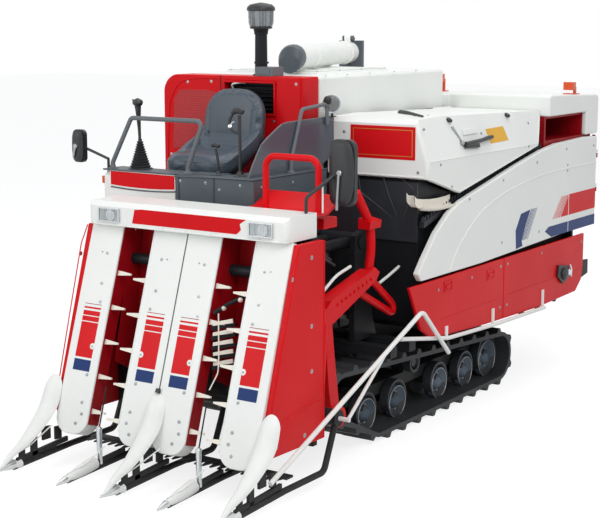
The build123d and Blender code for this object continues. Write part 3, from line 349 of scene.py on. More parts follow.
# Drawing. Places are the drawing's millimetres, whose zero lies 20 mm to the right of the frame's; radii,
# thicknesses and the profiles of turned forms are metres.
DRAWING_SHIFT = 20
FRONT = Vector((0, -1, 0))
REAR = Vector((0, 1, 0))
LEFT = Vector((1, 0, 0))
RIGHT = Vector((-1, 0, 0))
UP = Vector((0, 0, 1))


def at(x, y, z):
    """Point in metres from the drawing's millimetres."""
    return Vector(((x + DRAWING_SHIFT) / 1000, y / 1000, z / 1000))


def in_plane(axis, value, pairs):
    """Points of one plane: x, y or z is held at a value and each pair gives the other two."""
    held = "xyz".index(axis)
    return [at(*pair[:held], value, *pair[held:]) for pair in pairs]


def oblong(axis, value, low, high):
    """Corners of a rectangle in one plane."""
    return in_plane(axis, value, (low, (high[0], low[1]), high, (low[0], high[1])))


def add_ring(mesh, points):
    """New vertices at the given points."""
    return [mesh.verts.new(point) for point in points]


def bridge(mesh, rings, closed=True):
    """Bands of faces between neighbouring rings, and a face over each end."""
    count = len(rings[0])
    for low, high in zip(rings, rings[1:]):
        for i in range(count):
            after = (i + 1) % count
            mesh.faces.new((low[i], low[after], high[after], high[i]))
    if closed:
        mesh.faces.new(rings[0][::-1])
        mesh.faces.new(rings[-1])


def prism(mesh, outline, push):
    """Closed plate from a flat outline and the way it is pushed."""
    bridge(mesh, [add_ring(mesh, outline), add_ring(mesh, [corner + push for corner in outline])])


def circle(centre, side, up, radius, count):
    """Points round a centre, from two directions at right angles."""
    angles = [2 * pi * number / count for number in range(count)]
    return [centre + (side * cos(angle) + up * sin(angle)) * radius for angle in angles]


def lathe(mesh, centre, axis, profile, count=18):
    """Turned form from pairs of distance along its axis and radius."""
    axis = Vector(axis).normalized()
    side = axis.orthogonal().normalized()
    up = axis.cross(side)
    bridge(mesh, [
        add_ring(mesh, circle(centre + axis * along, side, up, radius, count)) for along, radius in profile
    ])


def rounded(points, radius, steps=5):
    """The same run of points with its corners turned into short curves."""
    path = [points[0]]
    for before, corner, after in zip(points, points[1:], points[2:]):
        first = corner + (before - corner).normalized() * min(radius, (before - corner).length / 2)
        last = corner + (after - corner).normalized() * min(radius, (after - corner).length / 2)
        for number in range(steps + 1):
            share = number / steps
            path.append(first.lerp(corner, share).lerp(corner.lerp(last, share), share))
    return path + points[-1:]


def tube(mesh, points, radius, count=8, bend=0.0):
    """Round bar along a run of points; the radius is one number or one for each point."""
    points = rounded(points, bend) if bend else points
    radii = [radius] * len(points) if isinstance(radius, float) else radius
    side = (points[1] - points[0]).orthogonal().normalized()
    rings = []
    for number, point in enumerate(points):
        before = points[max(number - 1, 0)]
        after = points[min(number + 1, len(points) - 1)]
        run = (after - before).normalized()
        side = (side - run * side.dot(run)).normalized()
        rings.append(add_ring(mesh, circle(point, side, run.cross(side), radii[number], count)))
    bridge(mesh, rings)


def rod(mesh, places, radius, count=8, bend=0.0):
    """Round bar through places of the drawing."""
    tube(mesh, [at(*place) for place in places], radius, count, bend)


def screws(mesh, points, out, radius=0.006):
    """Pan-head screws, each with its washer and drive recess, that all face one way."""
    profile = (
        (0, radius * 1.5), (0.0012, radius * 1.5), (0.0013, radius), (0.0034, radius * 0.92),
        (0.0046, radius * 0.6), (0.0047, radius * 0.3), (0.0032, radius * 0.25),
    )
    for point in points:
        lathe(mesh, point, out, profile, 14)


def panel_ring(mesh, middle, half, depth, wall, out=FRONT, rise=UP):
    """Rectangular frame round a middle point: half is its half width and half height."""
    side = out.cross(rise)
    loops = []
    for inset, lift in ((0, 0), (0, depth), (wall, depth), (wall, 0)):
        width = side * (half[0] - inset)
        height = rise * (half[1] - inset)
        corners = (-width - height, width - height, width + height, height - width)
        loops.append(add_ring(mesh, [middle + out * lift + corner for corner in corners]))
    bridge(mesh, loops + loops[:1], closed=False)


def ease(piece, width, reach):
    """Bevel that rounds the sharp edges of a piece."""
    bevel = piece.modifiers.new("ease", "BEVEL")
    bevel.width = width
    bevel.segments = 2
    bevel.limit_method = "ANGLE"
    bevel.angle_limit = radians(reach)
    bevel.harden_normals = True


def add_piece(name, mesh, body, slot, finish=None, bevel=0.0, smooth=35, node=None):
    """Turn a mesh into a piece that rides on a body and takes its finish from a slot."""
    bmesh.ops.recalc_face_normals(mesh, faces=mesh.faces)
    data = bpy.data.meshes.new(name)
    mesh.to_mesh(data)
    mesh.free()
    data.materials.append(finish or FINISHES[slot])
    data.shade_smooth()
    data.set_sharp_from_angle(angle=radians(smooth))
    piece = bpy.data.objects.new(name, data)
    scene.collection.objects.link(piece)
    if bevel:
        ease(piece, bevel, 32)
    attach(piece, body)
    if node:
        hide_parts(node)


# Eased edges. The panels of the machine are folded and welded sheet, so their corners are round by a
# few millimetres; the frame's plain corners get that roundness here, and its tubes stay as they are.
for node, width in (
    ("threshing_cover", 0.006), ("side_cover", 0.009), ("rear_cover", 0.012), ("grain_tank", 0.01),
    ("side_skirt", 0.006), ("header_cover", 0.006), ("row_cases", 0.005), ("header_side_panels", 0.006),
    ("front_console", 0.008), ("side_console", 0.006), ("seat_base", 0.008), ("engine_hood", 0.007),
    ("radiator_cover", 0.005), ("rear_frame", 0.003), ("straw_cutter", 0.004), ("header_back_cover", 0.003),
    ("threshing_housing", 0.006), ("operator_deck", 0.003),
):
    panel = frame["nodes"][node]
    weld = panel.modifiers.new("weld", "WELD")
    weld.merge_threshold = 0.00005
    flat = panel.modifiers.new("flat", "DECIMATE")
    flat.decimate_type = "DISSOLVE"
    flat.angle_limit = radians(1.0)
    ease(panel, width, 28)


# Row case fronts. Each leaning case is white sheet with a red field that breaks up into lines towards
# the top, a blue field under it, and pan-head screws along the edge beside the crop passage.
CASE_SLOPE = 0.327
CASE_FOOT_Y = -1915
LEAN = atan(CASE_SLOPE)
CASES = ((-508, -284, 1), (-70, 154, -1), (154, 378, 1), (592, 816, -1))
HEADER_X = 154
PASSAGES = (HEADER_X - 331, HEADER_X + 331)
PASSAGE_HALF = 104
FIELD_HALF = 59


def on_case(x, z, out=0.0):
    """Point on the leaning case fronts at a height, raised from them by the given millimetres."""
    return at(x, CASE_FOOT_Y + CASE_SLOPE * z - out * cos(LEAN), z + out * sin(LEAN))


case_out = on_case(0, 0, 1) - on_case(0, 0, 0)


def field(mesh, middle, low, high):
    """Thin painted field on the case front."""
    left = middle - FIELD_HALF
    right = middle + FIELD_HALF
    corners = ((left, low), (right, low), (right, high), (left, high))
    prism(mesh, [on_case(x, z, 0.1) for x, z in corners], case_out * 0.6)


red_fields = bmesh.new()
blue_fields = bmesh.new()
fine_lines = bmesh.new()
case_screws = bmesh.new()
pale_rings = bmesh.new()
lips = bmesh.new()
SCREW_PLACES = ((1137, 82), (978, 82), (884, 66), (654, 62), (508, 63), (366, 61), (309, 50), (257, 80))
RING = ((0, 0.0165), (0.0016, 0.0165), (0.002, 0.0155), (0.002, 0.001))
for near, far, open_side in CASES:
    middle = (near + far) / 2
    field(blue_fields, middle, 523, 581)
    for low, high in ((592, 773), (778, 803), (808, 832), (843, 852)):
        field(red_fields, middle, low, high)
    field(fine_lines, middle, 866, 869)
    edge = far if open_side > 0 else near
    places = [on_case(edge - open_side * inset, z, 0.8) for z, inset in SCREW_PLACES]
    screws(case_screws, places, case_out, 0.0065)
    lathe(pale_rings, places[3], case_out, RING, 24)
    screws(case_screws, [on_case(edge - open_side * 118, 1141, 0.5)], case_out, 0.0035)
    tube(lips, [on_case(edge - open_side * 1.5, z, 0.6) for z in (300, 500, 700, 900, 1100, 1285)], 0.0035)
add_piece("case_red_fields", red_fields, "header", "red_paint")
add_piece("case_blue_fields", blue_fields, "header", "white_paint", BLUE_PAINT)
add_piece("case_fine_lines", fine_lines, "header", "dark_red_paint")
add_piece("case_screws", case_screws, "header", "polished_steel")
add_piece("case_screw_rings", pale_rings, "header", "white_paint")
add_piece("case_edge_lips", lips, "header", "white_paint")


# Seam between the middle cases. The two middle cases stand side by side, with a dark rubber strip
# pressed into the joint and a rubber stop where the middle divider ends.
seam = bmesh.new()
strip = ((151.5, 470), (156.5, 470), (156.5, 1290), (151.5, 1290))
stop = ((141, 484), (167, 484), (163, 506), (145, 506))
prism(seam, [on_case(x, z, 0.2) for x, z in strip], case_out * 1.4)
prism(seam, [on_case(x, z, 0.3) for x, z in stop], case_out * 17)
add_piece("middle_seam", seam, "header", "black_plastic", bevel=0.0006)


# Header cover trim. The white top cover carries a bare red strip with a forked right end, a folded
# lip along its foot and two rectangular lamps, each a chromed bowl behind a fluted lens.
COVER_FRONT = -1540
LAMP_SPREAD = 500
RIBS = 13
RIB_PITCH = 0.0098
cover_strip = bmesh.new()
shape = ((-190, 1312), (-172, 1386), (-120, 1391), (560, 1391), (520, 1366), (527, 1336), (500, 1312))
prism(cover_strip, in_plane("y", COVER_FRONT - 0.2, shape), FRONT * 0.0008)
add_piece("cover_strip", cover_strip, "header", "red_paint")
cover_lip = bmesh.new()
tube(cover_lip, in_plane("y", COVER_FRONT - 1, [(x, 1293) for x in (-460, -200, 100, 400, 768)]), 0.004)
lip_screws = [(x, 1300) for x in (-230, -120, 20, 180, 340, 640)]
screws(cover_lip, in_plane("y", COVER_FRONT - 0.5, lip_screws), FRONT, 0.004)
add_piece("cover_lip", cover_lip, "header", "white_paint")
lamp_frames = bmesh.new()
lamp_bowls = bmesh.new()
lamp_glass = bmesh.new()
for x in (HEADER_X - LAMP_SPREAD, HEADER_X + LAMP_SPREAD):
    middle = at(x, COVER_FRONT - 1, 1347)
    panel_ring(lamp_frames, middle, (0.072, 0.037), 0.013, 0.006)
    back = middle + FRONT * 0.001
    bowl = ((0, 0.012), (0.003, 0.024), (0.009, 0.031), (0.0095, 0.0305))
    lathe(lamp_bowls, back + LEFT * 0.012, FRONT, bowl, 24)
    for side in (-1, 1):
        wing = [(side * u, 0, w) for u, w in ((0.034, -0.03), (0.064, -0.03), (0.064, 0.03), (0.034, 0.03))]
        prism(lamp_bowls, [back + Vector(corner) for corner in wing], Vector((side * 0.001, -0.004, 0)))
    plate = ((-0.064, -0.031), (0.064, -0.031), (0.064, 0.031), (-0.064, 0.031))
    prism(lamp_bowls, [back + Vector((u, 0, w)) for u, w in plate], FRONT * 0.002)
    for i in range(RIBS):
        start = middle + Vector((-0.0625 + i * RIB_PITCH, -0.0095, -0.031))
        flute = (Vector((0, 0, 0)), LEFT * RIB_PITCH, LEFT * RIB_PITCH / 2 + FRONT * 0.0022)
        prism(lamp_glass, [start + corner for corner in flute], UP * 0.062)
add_piece("cover_lamp_frames", lamp_frames, "header", "polished_steel", CHROME, 0.0012, node="header_lamps")
add_piece("cover_lamp_bowls", lamp_bowls, "header", "polished_steel", CHROME)
add_piece("cover_lamp_glass", lamp_glass, "header", "lamp_lens", LAMP_GLASS)


# Header end panels. Red sheet with one long fold down its front, a short one low down, a flanged rear
# edge and a row of bolts that hold it to the frame.
end_folds = bmesh.new()
end_bolts = bmesh.new()
LONG_FOLD = ((-1500, 1272), (-1554, 1178), (-1670, 770), (-1784, 360), (-1772, 262))
LOW_FOLD = ((-1784, 360), (-1685, 401), (-1580, 432), (-1491, 448), (-1275, 452))
REAR_EDGE = ((-1272, 245), (-1272, 700), (-1272, 1278))
END_BOLTS = (
    (-1388, 1205), (-1388, 854), (-1386, 620), (-1450, 300), (-1330, 300), (-1700, 300), (-1560, 1120),
)
for x, side in ((852, 1), (-544, -1)):
    tube(end_folds, in_plane("x", x + side * 0.4, LONG_FOLD), 0.0032)
    tube(end_folds, in_plane("x", x + side * 0.4, LOW_FOLD), 0.0028)
    tube(end_folds, in_plane("x", x - side * 2, REAR_EDGE), 0.006)
    screws(end_bolts, in_plane("x", x, END_BOLTS), LEFT * side, 0.008)
add_piece("end_panel_folds", end_folds, "header", "red_paint")
add_piece("end_panel_bolts", end_bolts, "header", "polished_steel")


# Inside the crop passages. Behind each passage a sloping dark red sheet closes the lifting case. Below
# it show the drive chain, its guard and star wheels, and two slim tubes rise from the small dividers.
STAR_WHEEL = ((0, 0.03), (0.004, 0.034), (0.012, 0.034), (0.016, 0.026), (0.022, 0.012), (0.03, 0.012))
TUBE_HEAD = ((0, 0.0165), (0.01, 0.0165), (0.016, 0.01), (0.02, 0.006))
passage_red = bmesh.new()
passage_dark = bmesh.new()
passage_pale = bmesh.new()
passage_steel = bmesh.new()


def in_passage(middle, places):
    """Places of a passage, counted across from its middle."""
    return [at(middle + x, y, z) for x, y, z in places]


for middle in PASSAGES:
    sheet = ((-104, -1350, 430), (104, -1350, 610), (104, -1330, 1270), (-104, -1330, 1270))
    prism(passage_red, in_passage(middle, sheet), FRONT * 0.003)
    for side, foot in ((-1, 430), (1, 610)):
        flange = ((-1352, foot), (-1600, 560), (-1440, 1250), (-1335, 1262))
        prism(passage_red, in_plane("x", middle + side * PASSAGE_HALF, flange), RIGHT * side * 0.002)
    for i in range(4):
        wheel = at(middle - 60 + i * 40, -1400 - i * 12, 300 + i * 52)
        lathe(passage_dark, wheel, (0.2, -1, 0.3), STAR_WHEEL, 16)
    for i in range(15):
        link = at(middle - 92 + i * 13, -1420, 262 + i * 17)
        corners = ((-0.008, -0.004), (0.008, -0.001), (0.009, 0.006), (-0.006, 0.006))
        prism(passage_dark, [link + Vector((u, 0, w)) for u, w in corners], REAR * 0.011)
    rail = ((-98, -1425, 245), (40, -1425, 420), (98, -1425, 505))
    tube(passage_dark, in_passage(middle, rail), 0.009, bend=0.03)
    tube(passage_dark, in_passage(middle, ((60, -1470, 222), (66, -1440, 420))), 0.012)
    guard = ((-100, -1500, 228), (-30, -1520, 228), (40, -1500, 300), (98, -1480, 430), (98, -1450, 228))
    prism(passage_dark, in_passage(middle, guard), REAR * 0.004)
    tube(passage_steel, in_passage(middle, ((0, -1850, 72), (0, -1851, 90), (0, -1852, 262))), 0.0145, 16)
    tube(passage_dark, in_passage(middle, ((0, -1852, 255), (0, -1849, 270), (0, -1786, 474))), 0.0042)
    lathe(passage_steel, at(middle, -1852, 255), (0, -0.01, 1), TUBE_HEAD, 16)
for i in range(5):
    z = 860 - i * 52
    finger = ((418, -1640, z - 12), (418, -1640, z + 6), (512, -1600, z + 30), (516, -1600, z + 8))
    holder = ((400, -1630, z - 40), (520, -1585, z - 10), (520, -1585, z + 4), (400, -1630, z - 16))
    prism(passage_pale, in_passage(0, finger), REAR * 0.006)
    prism(passage_dark, in_passage(0, holder), REAR * 0.02)
hanger = ((478, -1668, 925), (480, -1672, 700), (484, -1684, 622), (462, -1730, 540))
rod(passage_pale, hanger, 0.0035, bend=0.02)
rod(passage_dark, ((395, -1600, 905), (470, -1560, 960), (560, -1540, 1005)), 0.011, bend=0.02)
for x, z in ((440, 930), (545, 985)):
    knob = ((0, 0.012), (0.006, 0.013), (0.02, 0.009), (0.026, 0.004))
    lathe(passage_pale, at(x, -1572, z), (0.5, -1, 0.4), knob, 12)
add_piece("passage_sheets", passage_red, "header", "dark_red_paint", bevel=0.001)
add_piece("passage_drive", passage_dark, "header", "black_paint", bevel=0.001)
add_piece("passage_fingers", passage_pale, "header", "cream_plastic", bevel=0.0008)
add_piece("passage_tubes", passage_steel, "header", "polished_steel", CHROME)


# Passage walls. The cases' side sheets are dark red inside the passages, so only the front faces of the cases
# are white. At the knife end of each passage a black sheet with three black bars is painted shade, for the
# dark deep in the passage.
walls = bmesh.new()
for face, push in ((-284, 1), (-70, -1), (378, 1), (592, -1)):
    corners = ((262, -7), (1330, -7), (1330, -93), (262, -93))
    prism(walls, [on_case(face + push * 0.3, z, out) for z, out in corners], LEFT * push * 0.0009)
add_piece("passage_walls", walls, "header", "dark_red_paint")
# A black sheet with bars at the back of each passage: painted shade.
passage_shade = bmesh.new()
for middle in PASSAGES:
    shade = ((-104, 150), (104, 150), (104, 640), (-104, 440))
    prism(passage_shade, in_plane("y", -1395, [(middle + x, z) for x, z in shade]), REAR * 0.004)
    for x in (-80, 0, 80):
        tube(passage_shade, in_passage(middle, ((x, -1400, 170), (x * 0.7, -1430, 420))), 0.012)
add_piece("passage_shade_backs", passage_shade, "header", "black_paint")


# Divider runners. Under each large divider a black bar carries the shoe on two short struts, and a thin
# white rod braces the shoe's nose against the foot of the case behind it.
LARGE_RUNNER = ((-2085, 66), (-1690, 92), (-1690, 118), (-2070, 92))
SMALL_RUNNER = ((-2090, 52), (-1660, 92), (-1660, 112), (-1880, 96), (-2085, 76))
LARGE_NOSE = ((0, 0.002), (0.03, 0.008), (0.075, 0.0165), (0.12, 0.0235), (0.124, 0.0215))
SMALL_NOSE = ((0, 0.002), (0.03, 0.009), (0.07, 0.017), (0.075, 0.0165))
runners = bmesh.new()
braces = bmesh.new()
noses = bmesh.new()
for x, foot in ((-563, 60), (154, 95), (871, -70)):
    prism(runners, in_plane("x", x - 9, LARGE_RUNNER), LEFT * 0.018)
    for y, z, wide in ((-2035, 130, 20), (-1850, 210, 30), (-1760, 190, 24)):
        strut = ((y - wide, z - 70), (y + wide, z - 70), (y + wide, z), (y - wide, z + 4))
        prism(runners, in_plane("x", x - 7, strut), LEFT * 0.014)
    rod(braces, ((x + 12, -2070, 126), (x + 20, -2000, 142), (x + foot, -1866, 232)), 0.0036, bend=0.03)
    lathe(noses, at(x, -2218, 57), (0, 1, 0.12), LARGE_NOSE, 16)
for x in PASSAGES:
    rod(braces, ((x - 8, -2100, 80), (x + 20, -1990, 105), (x + 72, -1890, 190)), 0.003, bend=0.03)
    lathe(noses, at(x, -2182, 50), (0, 1, 0.16), SMALL_NOSE, 16)
    prism(runners, in_plane("x", x - 11, SMALL_RUNNER), LEFT * 0.022)
add_piece("divider_runners", runners, "header", "black_paint", bevel=0.0015)
add_piece("divider_braces", braces, "header", "white_paint")
add_piece("divider_noses", noses, "header", "polished_steel", CHROME)


# Red ironwork behind the header. The lift elevator carries a main tube, a thick tension loop and an arm
# down to its gear drum; a post, a slanting tube, rods and a cable block stand above it.
irons = bmesh.new()
rod(irons, ((744, -1130, 836), (744, -923, 900), (744, -716, 966), (742, -600, 1002)), 0.034, 16)
rod(irons, ((742, -800, 935), (742, -392, 732), (742, -384, 786), (742, -640, 972)), 0.021, 14, 0.05)
arm = (
    (-1138, 812), (-1076, 812), (-1052, 640), (-1024, 470), (-1000, 330), (-1072, 300), (-1102, 440),
    (-1128, 640),
)
prism(irons, in_plane("x", 735, arm), LEFT * 0.04)
rod(irons, ((700, -588, 1000), (700, -560, 1120), (696, -566, 1262), (684, -700, 1452)), 0.026, 14, 0.05)
prism(irons, in_plane("y", -625, ((655, 1240), (728, 1240), (734, 1284), (655, 1300))), REAR * 0.12)
shelf = ((470, -1262, 1380), (690, -1262, 1380), (690, -960, 1296), (470, -960, 1296))
prism(irons, [at(*corner) for corner in shelf], UP * 0.005)
add_piece("elevator_irons", irons, "header", "red_paint", bevel=0.003)
block = bmesh.new()
prism(block, oblong("y", -1098, (668, 1300), (736, 1356)), REAR * 0.13)
add_piece("cable_block", block, "header", "red_paint", bevel=0.004)
rods = bmesh.new()
rod(rods, ((700, -1052, 958), (700, -923, 1026), (700, -776, 1056)), 0.0085, 10, 0.05)
rod(rods, ((700, -470, 915), (700, -340, 950), (700, -250, 979)), 0.0085, 10, 0.05)
rod(rods, ((795, -1200, 1395), (795, -1200, 1560)), 0.005)
add_piece("elevator_rods", rods, "header", "white_paint")
hoses = bmesh.new()
for x, sag in ((600, 0), (620, 24), (645, 52)):
    rod(hoses, ((x, -1270, 1180), (x + 8, -1080, 1230 - sag), (x + 4, -860, 1120 - sag)), 0.009, bend=0.08)
prism(hoses, oblong("y", -1272, (470, 1120), (690, 1236)), REAR * 0.02)
add_piece("header_hoses", hoses, "header", "black_plastic")


# Driver's console. A white moulded front carries a bare red panel with a pale rim and a dark line under
# its curved foot; the grey console beside it is folded sheet with a rolled edge and screws.
CONSOLE_Y = -1130
CONSOLE_TOP = 1530
console_red = bmesh.new()
console_white = bmesh.new()
console_dark = bmesh.new()
arc = [(-697 + i * 46.8, 1449 - 9 * (1 - ((i - 5) / 5) ** 2)) for i in range(11)]
low_rim = [(x, z - 6) for x, z in arc]
low_rim[0] = (arc[0][0] - 5, arc[0][1] - 6)
low_rim[-1] = (arc[-1][0] + 5, arc[-1][1] - 6)
prism(console_white, in_plane("y", CONSOLE_Y - 0.3, [(-226, 1530), (-702, 1532)] + low_rim), FRONT * 0.0012)
prism(console_red, in_plane("y", CONSOLE_Y - 1.4, [(-229, 1524), (-697, 1526)] + arc), FRONT * 0.0009)
tube(console_dark, in_plane("y", CONSOLE_Y - 1.2, [(x, z - 13) for x, z in arc]), 0.0042)
add_piece("console_plate", console_red, "machine", "red_paint")
add_piece("console_rim", console_white, "machine", "white_paint")
prism(console_dark, oblong("z", CONSOLE_TOP - 2, (-752, -1132), (-228, -968)), UP * 0.009)
rod(console_dark, ((-750, -1134, 1534), (-490, -1134, 1534), (-229, -1134, 1534)), 0.0055)
add_piece("console_cap", console_dark, "machine", "grey_plastic", bevel=0.0025)
grey_trim = bmesh.new()
grey_screws = bmesh.new()
for run in (
    ((-228, -1131, 1524), (40, -1131, 1532), (308, -1131, 1534)),
    ((308, -1130, 1534), (309, -970, 1534), (309, -412, 1534)),
    ((-204, -1131, 1520), (-210, -1131, 1160)),
    ((40, -1131, 1524), (36, -1131, 1170)),
):
    rod(grey_trim, run, 0.0055)
top_plate = ((-224, -1124), (304, -1124), (304, -415), (64, -415), (64, -976), (-224, -976))
prism(grey_trim, in_plane("z", CONSOLE_TOP, top_plate), UP * 0.006)
for i in range(5):
    low = (-190 + i * 8, -1080 + i * 22)
    prism(grey_trim, oblong("z", CONSOLE_TOP + 6, low, (low[0] + 210, low[1] + 12)), UP * 0.005)
front_screws = ((-13, 1500), (221, 1500), (80, 1467), (-190, 1500), (-190, 1300), (290, 1300))
side_screws = ((-1060, 1490), (-760, 1490), (-470, 1490), (-760, 1200))
screws(grey_screws, in_plane("y", CONSOLE_Y + 1, front_screws), FRONT)
screws(grey_screws, in_plane("x", 310.5, side_screws), LEFT)
add_piece("grey_console_trim", grey_trim, "machine", "grey_plastic", bevel=0.0015)
add_piece("console_screws", grey_screws, "machine", "polished_steel")
tread = bmesh.new()
for x in range(-690, 46, 46):
    for y in (-940, -882, -824, -766):
        lozenge = ((x - 13, y), (x, y - 4), (x + 13, y), (x, y + 4))
        prism(tread, in_plane("z", 1120.5, lozenge), UP * 0.0018)
add_piece("deck_tread", tread, "machine", "grey_plastic", FINISHES["dark_steel"])
marker = bmesh.new()
prism(marker, in_plane("y", -1128, ((-768, 1452), (-753, 1450), (-753, 1492), (-768, 1494))), REAR * 0.03)
add_piece("side_marker", marker, "machine", "orange_lens", bevel=0.003)


# Levers. The steering lever rises from a ribbed rubber boot and ends in a grip with a thumb switch. Two
# travel levers stand in the grey console, the tall one with a cross grip and a steel clamp.
FOLDS = 12
steering = bmesh.new()
boot = [(0, 0.07), (0.005, 0.07)]
for i in range(FOLDS):
    share = i / (FOLDS - 1)
    wide = 0.066 - 0.046 * share ** 0.85
    boot += [(0.006 + share * 0.15, wide), (0.0105 + share * 0.15, wide - 0.009)]
grip = (
    (-560, -1031, 1690), (-560, -1034, 1760), (-561, -1037, 1820), (-561, -1040, 1870), (-562, -1042, 1905),
)
head = ((0, 0.019), (0.008, 0.028), (0.02, 0.031), (0.032, 0.026), (0.038, 0.014), (0.042, 0.007))
lathe(steering, at(-560, -1030, 1536), UP, boot + [(0.172, 0.011)], 28)
rod(steering, grip, (0.008, 0.009, 0.012, 0.016, 0.02), 14)
lathe(steering, at(-562, -1042, 1897), (0.1, -0.1, 1), head, 20)
lathe(steering, at(-575, -1046, 1908), (-0.6, -0.3, 1), ((0, 0.006), (0.026, 0.005), (0.03, 0.003)), 10)
add_piece("steering_boot", steering, "machine", "black_plastic", node="steering_lever")
travel = bmesh.new()
rod(travel, ((140, -1020, 1534), (141, -1021, 1700), (140, -1024, 1868)), (0.0085, 0.0085, 0.01), 12)
cross_grip = ((96, -1028, 1878), (118, -1026, 1893), (142, -1025, 1893), (166, -1024, 1884))
rod(travel, cross_grip, (0.012, 0.018, 0.019, 0.013), 14)
lathe(travel, at(140, -1022, 1533), UP, ((0, 0.034), (0.006, 0.033), (0.012, 0.02), (0.03, 0.014)), 20)
rod(travel, ((-8, -1020, 1534), (-6, -1022, 1600), (-22, -1026, 1680)), 0.007, 12, 0.03)
rod(travel, ((-46, -1028, 1694), (-22, -1027, 1700), (2, -1026, 1692)), (0.009, 0.014, 0.01), 14)
lathe(travel, at(-8, -1020, 1533), UP, ((0, 0.03), (0.005, 0.029), (0.01, 0.016), (0.024, 0.011)), 20)
add_piece("travel_levers", travel, "machine", "black_plastic", node="shift_levers")
clamp = bmesh.new()
clamp_nut = ((0, 0.007), (0.003, 0.011), (0.009, 0.011), (0.012, 0.006))
lathe(clamp, at(86, -1034, 1806), (0.4, -1, 0.3), clamp_nut, 16)
rod(clamp, ((84, -1038, 1806), (104, -1036, 1828), (112, -1034, 1832)), 0.0045)
add_piece("lever_clamp", clamp, "machine", "polished_steel", CHROME)
clamp_arm = bmesh.new()
arm = ((98, -1027, 1874), (74, -1028, 1836), (78, -1028, 1800), (104, -1026, 1778), (138, -1023, 1770))
rod(clamp_arm, arm, 0.0085, 10, 0.02)
add_piece("lever_clamp_arm", clamp_arm, "machine", "black_plastic")


# Rails and mirrors. The grey handrails stand on turned feet and the side one ends in a black knob; each
# mirror has a round-cornered black shell, held by a steel clamp on its stalk.
MIRROR_STEPS = 32
SQUARENESS = 0.62
rail_feet = bmesh.new()
for x in (-720, -170):
    lathe(rail_feet, at(x, -1085, 1536), UP, ((0, 0.03), (0.006, 0.03), (0.009, 0.018), (0.02, 0.015)))
lathe(rail_feet, at(257, -700, 1534), UP, ((0, 0.026), (0.005, 0.026), (0.008, 0.015), (0.018, 0.013)))
add_piece("rail_feet", rail_feet, "machine", "grey_paint", bevel=0.001)
knob = bmesh.new()
ball = ((0, 0.012), (0.01, 0.02), (0.024, 0.024), (0.038, 0.019), (0.045, 0.008))
lathe(knob, at(257, -330, 1900), (0, 0.3, 1), ball)
add_piece("rail_knob", knob, "machine", "black_plastic")


def squared(value, reach):
    """Sine or cosine drawn out towards a square corner, times a reach."""
    return abs(value) ** SQUARENESS * (1 if value > 0 else -1) * reach


def mirror(name, middle, half, body, clamp_drop):
    """Round-cornered mirror shell with its clamp."""
    shell = bmesh.new()
    rings = []
    for inset, depth in ((0.0, 0.004), (0.0, -0.01), (0.012, -0.02), (0.03, -0.024)):
        spots = []
        for angle in [2 * pi * i / MIRROR_STEPS for i in range(MIRROR_STEPS)]:
            across = squared(cos(angle), half[0] - inset)
            spots.append(middle + Vector((across, depth, squared(sin(angle), half[1] - inset))))
        rings.append(add_ring(shell, spots))
    bridge(shell, rings)
    add_piece(name + "_shell", shell, body, "black_plastic", smooth=50)
    hold = bmesh.new()
    bracket = ((0.0, -0.028, 0.012), (-0.002, -0.032, -0.02), (-0.014, -0.03, -clamp_drop))
    tube(hold, [middle + Vector(spot) for spot in bracket], 0.0075, 10)
    lathe(hold, middle + FRONT * 0.036, REAR, ((0, 0.011), (0.004, 0.015), (0.014, 0.016)), 16)
    add_piece(name + "_clamp", hold, body, "polished_steel")


mirror("mirror_left_back", at(880, -1150, 1612), (0.0735, 0.166), "header", 0.19)
mirror("mirror_right_back", at(-950, -1120, 1655), (0.0425, 0.093), "machine", 0.06)


# Driver's seat. Foam under blue-grey vinyl: a crowned cushion and a back with round shoulders, piped
# along the seams and bolted to the seat cover. The foam is swollen by a short cloth simulation.
VOXEL = 0.006
PRESSURE = 4
SWELL_FRAMES = 20
SWELL_CAP = 0.012
SEAM_WIDTH = 0.011
BUCKET_RISE = 0.085
PIPING_OUT = 1.1
SMOOTHINGS = 2
SEAT_X = at(-270, 0, 0).x


def pad_form(outline, depth, crown, rings=5):
    """Crowned closed form over a flat outline; depth is its half thickness."""
    mesh = bmesh.new()
    outline = [Vector(point) for point in outline]
    centre = sum(outline, Vector((0, 0))) / len(outline)

    def layer(points, share, height):
        """The points drawn in towards the middle, at one height."""
        return add_ring(mesh, [(*(centre + (point - centre) * share), height) for point in points])

    levels = [step / rings for step in range(-rings, rings + 1)]
    layers = [layer(outline, 1 - 0.09 * level ** 4, level * depth) for level in levels]
    bridge(mesh, layers, closed=False)
    for end, sign in ((layers[0], -1), (layers[-1], 1)):
        rim = [vertex.co.xy for vertex in end]
        steps = ((0.72, 0.55), (0.4, 0.9))
        inner = [layer(rim, share, sign * (depth + crown * rise)) for share, rise in steps]
        bridge(mesh, [end] + inner, closed=False)
        peak = mesh.verts.new((*centre, sign * (depth + crown)))
        for i, corner in enumerate(inner[-1]):
            mesh.faces.new((corner, inner[-1][(i + 1) % len(rim)], peak))
    bmesh.ops.recalc_face_normals(mesh, faces=mesh.faces)
    return mesh


def settled(piece):
    """The piece's mesh as its modifiers leave it, which are then taken off."""
    view = bpy.context.evaluated_depsgraph_get()
    made = bpy.data.meshes.new_from_object(piece.evaluated_get(view))
    piece.modifiers.clear()
    piece.data = made


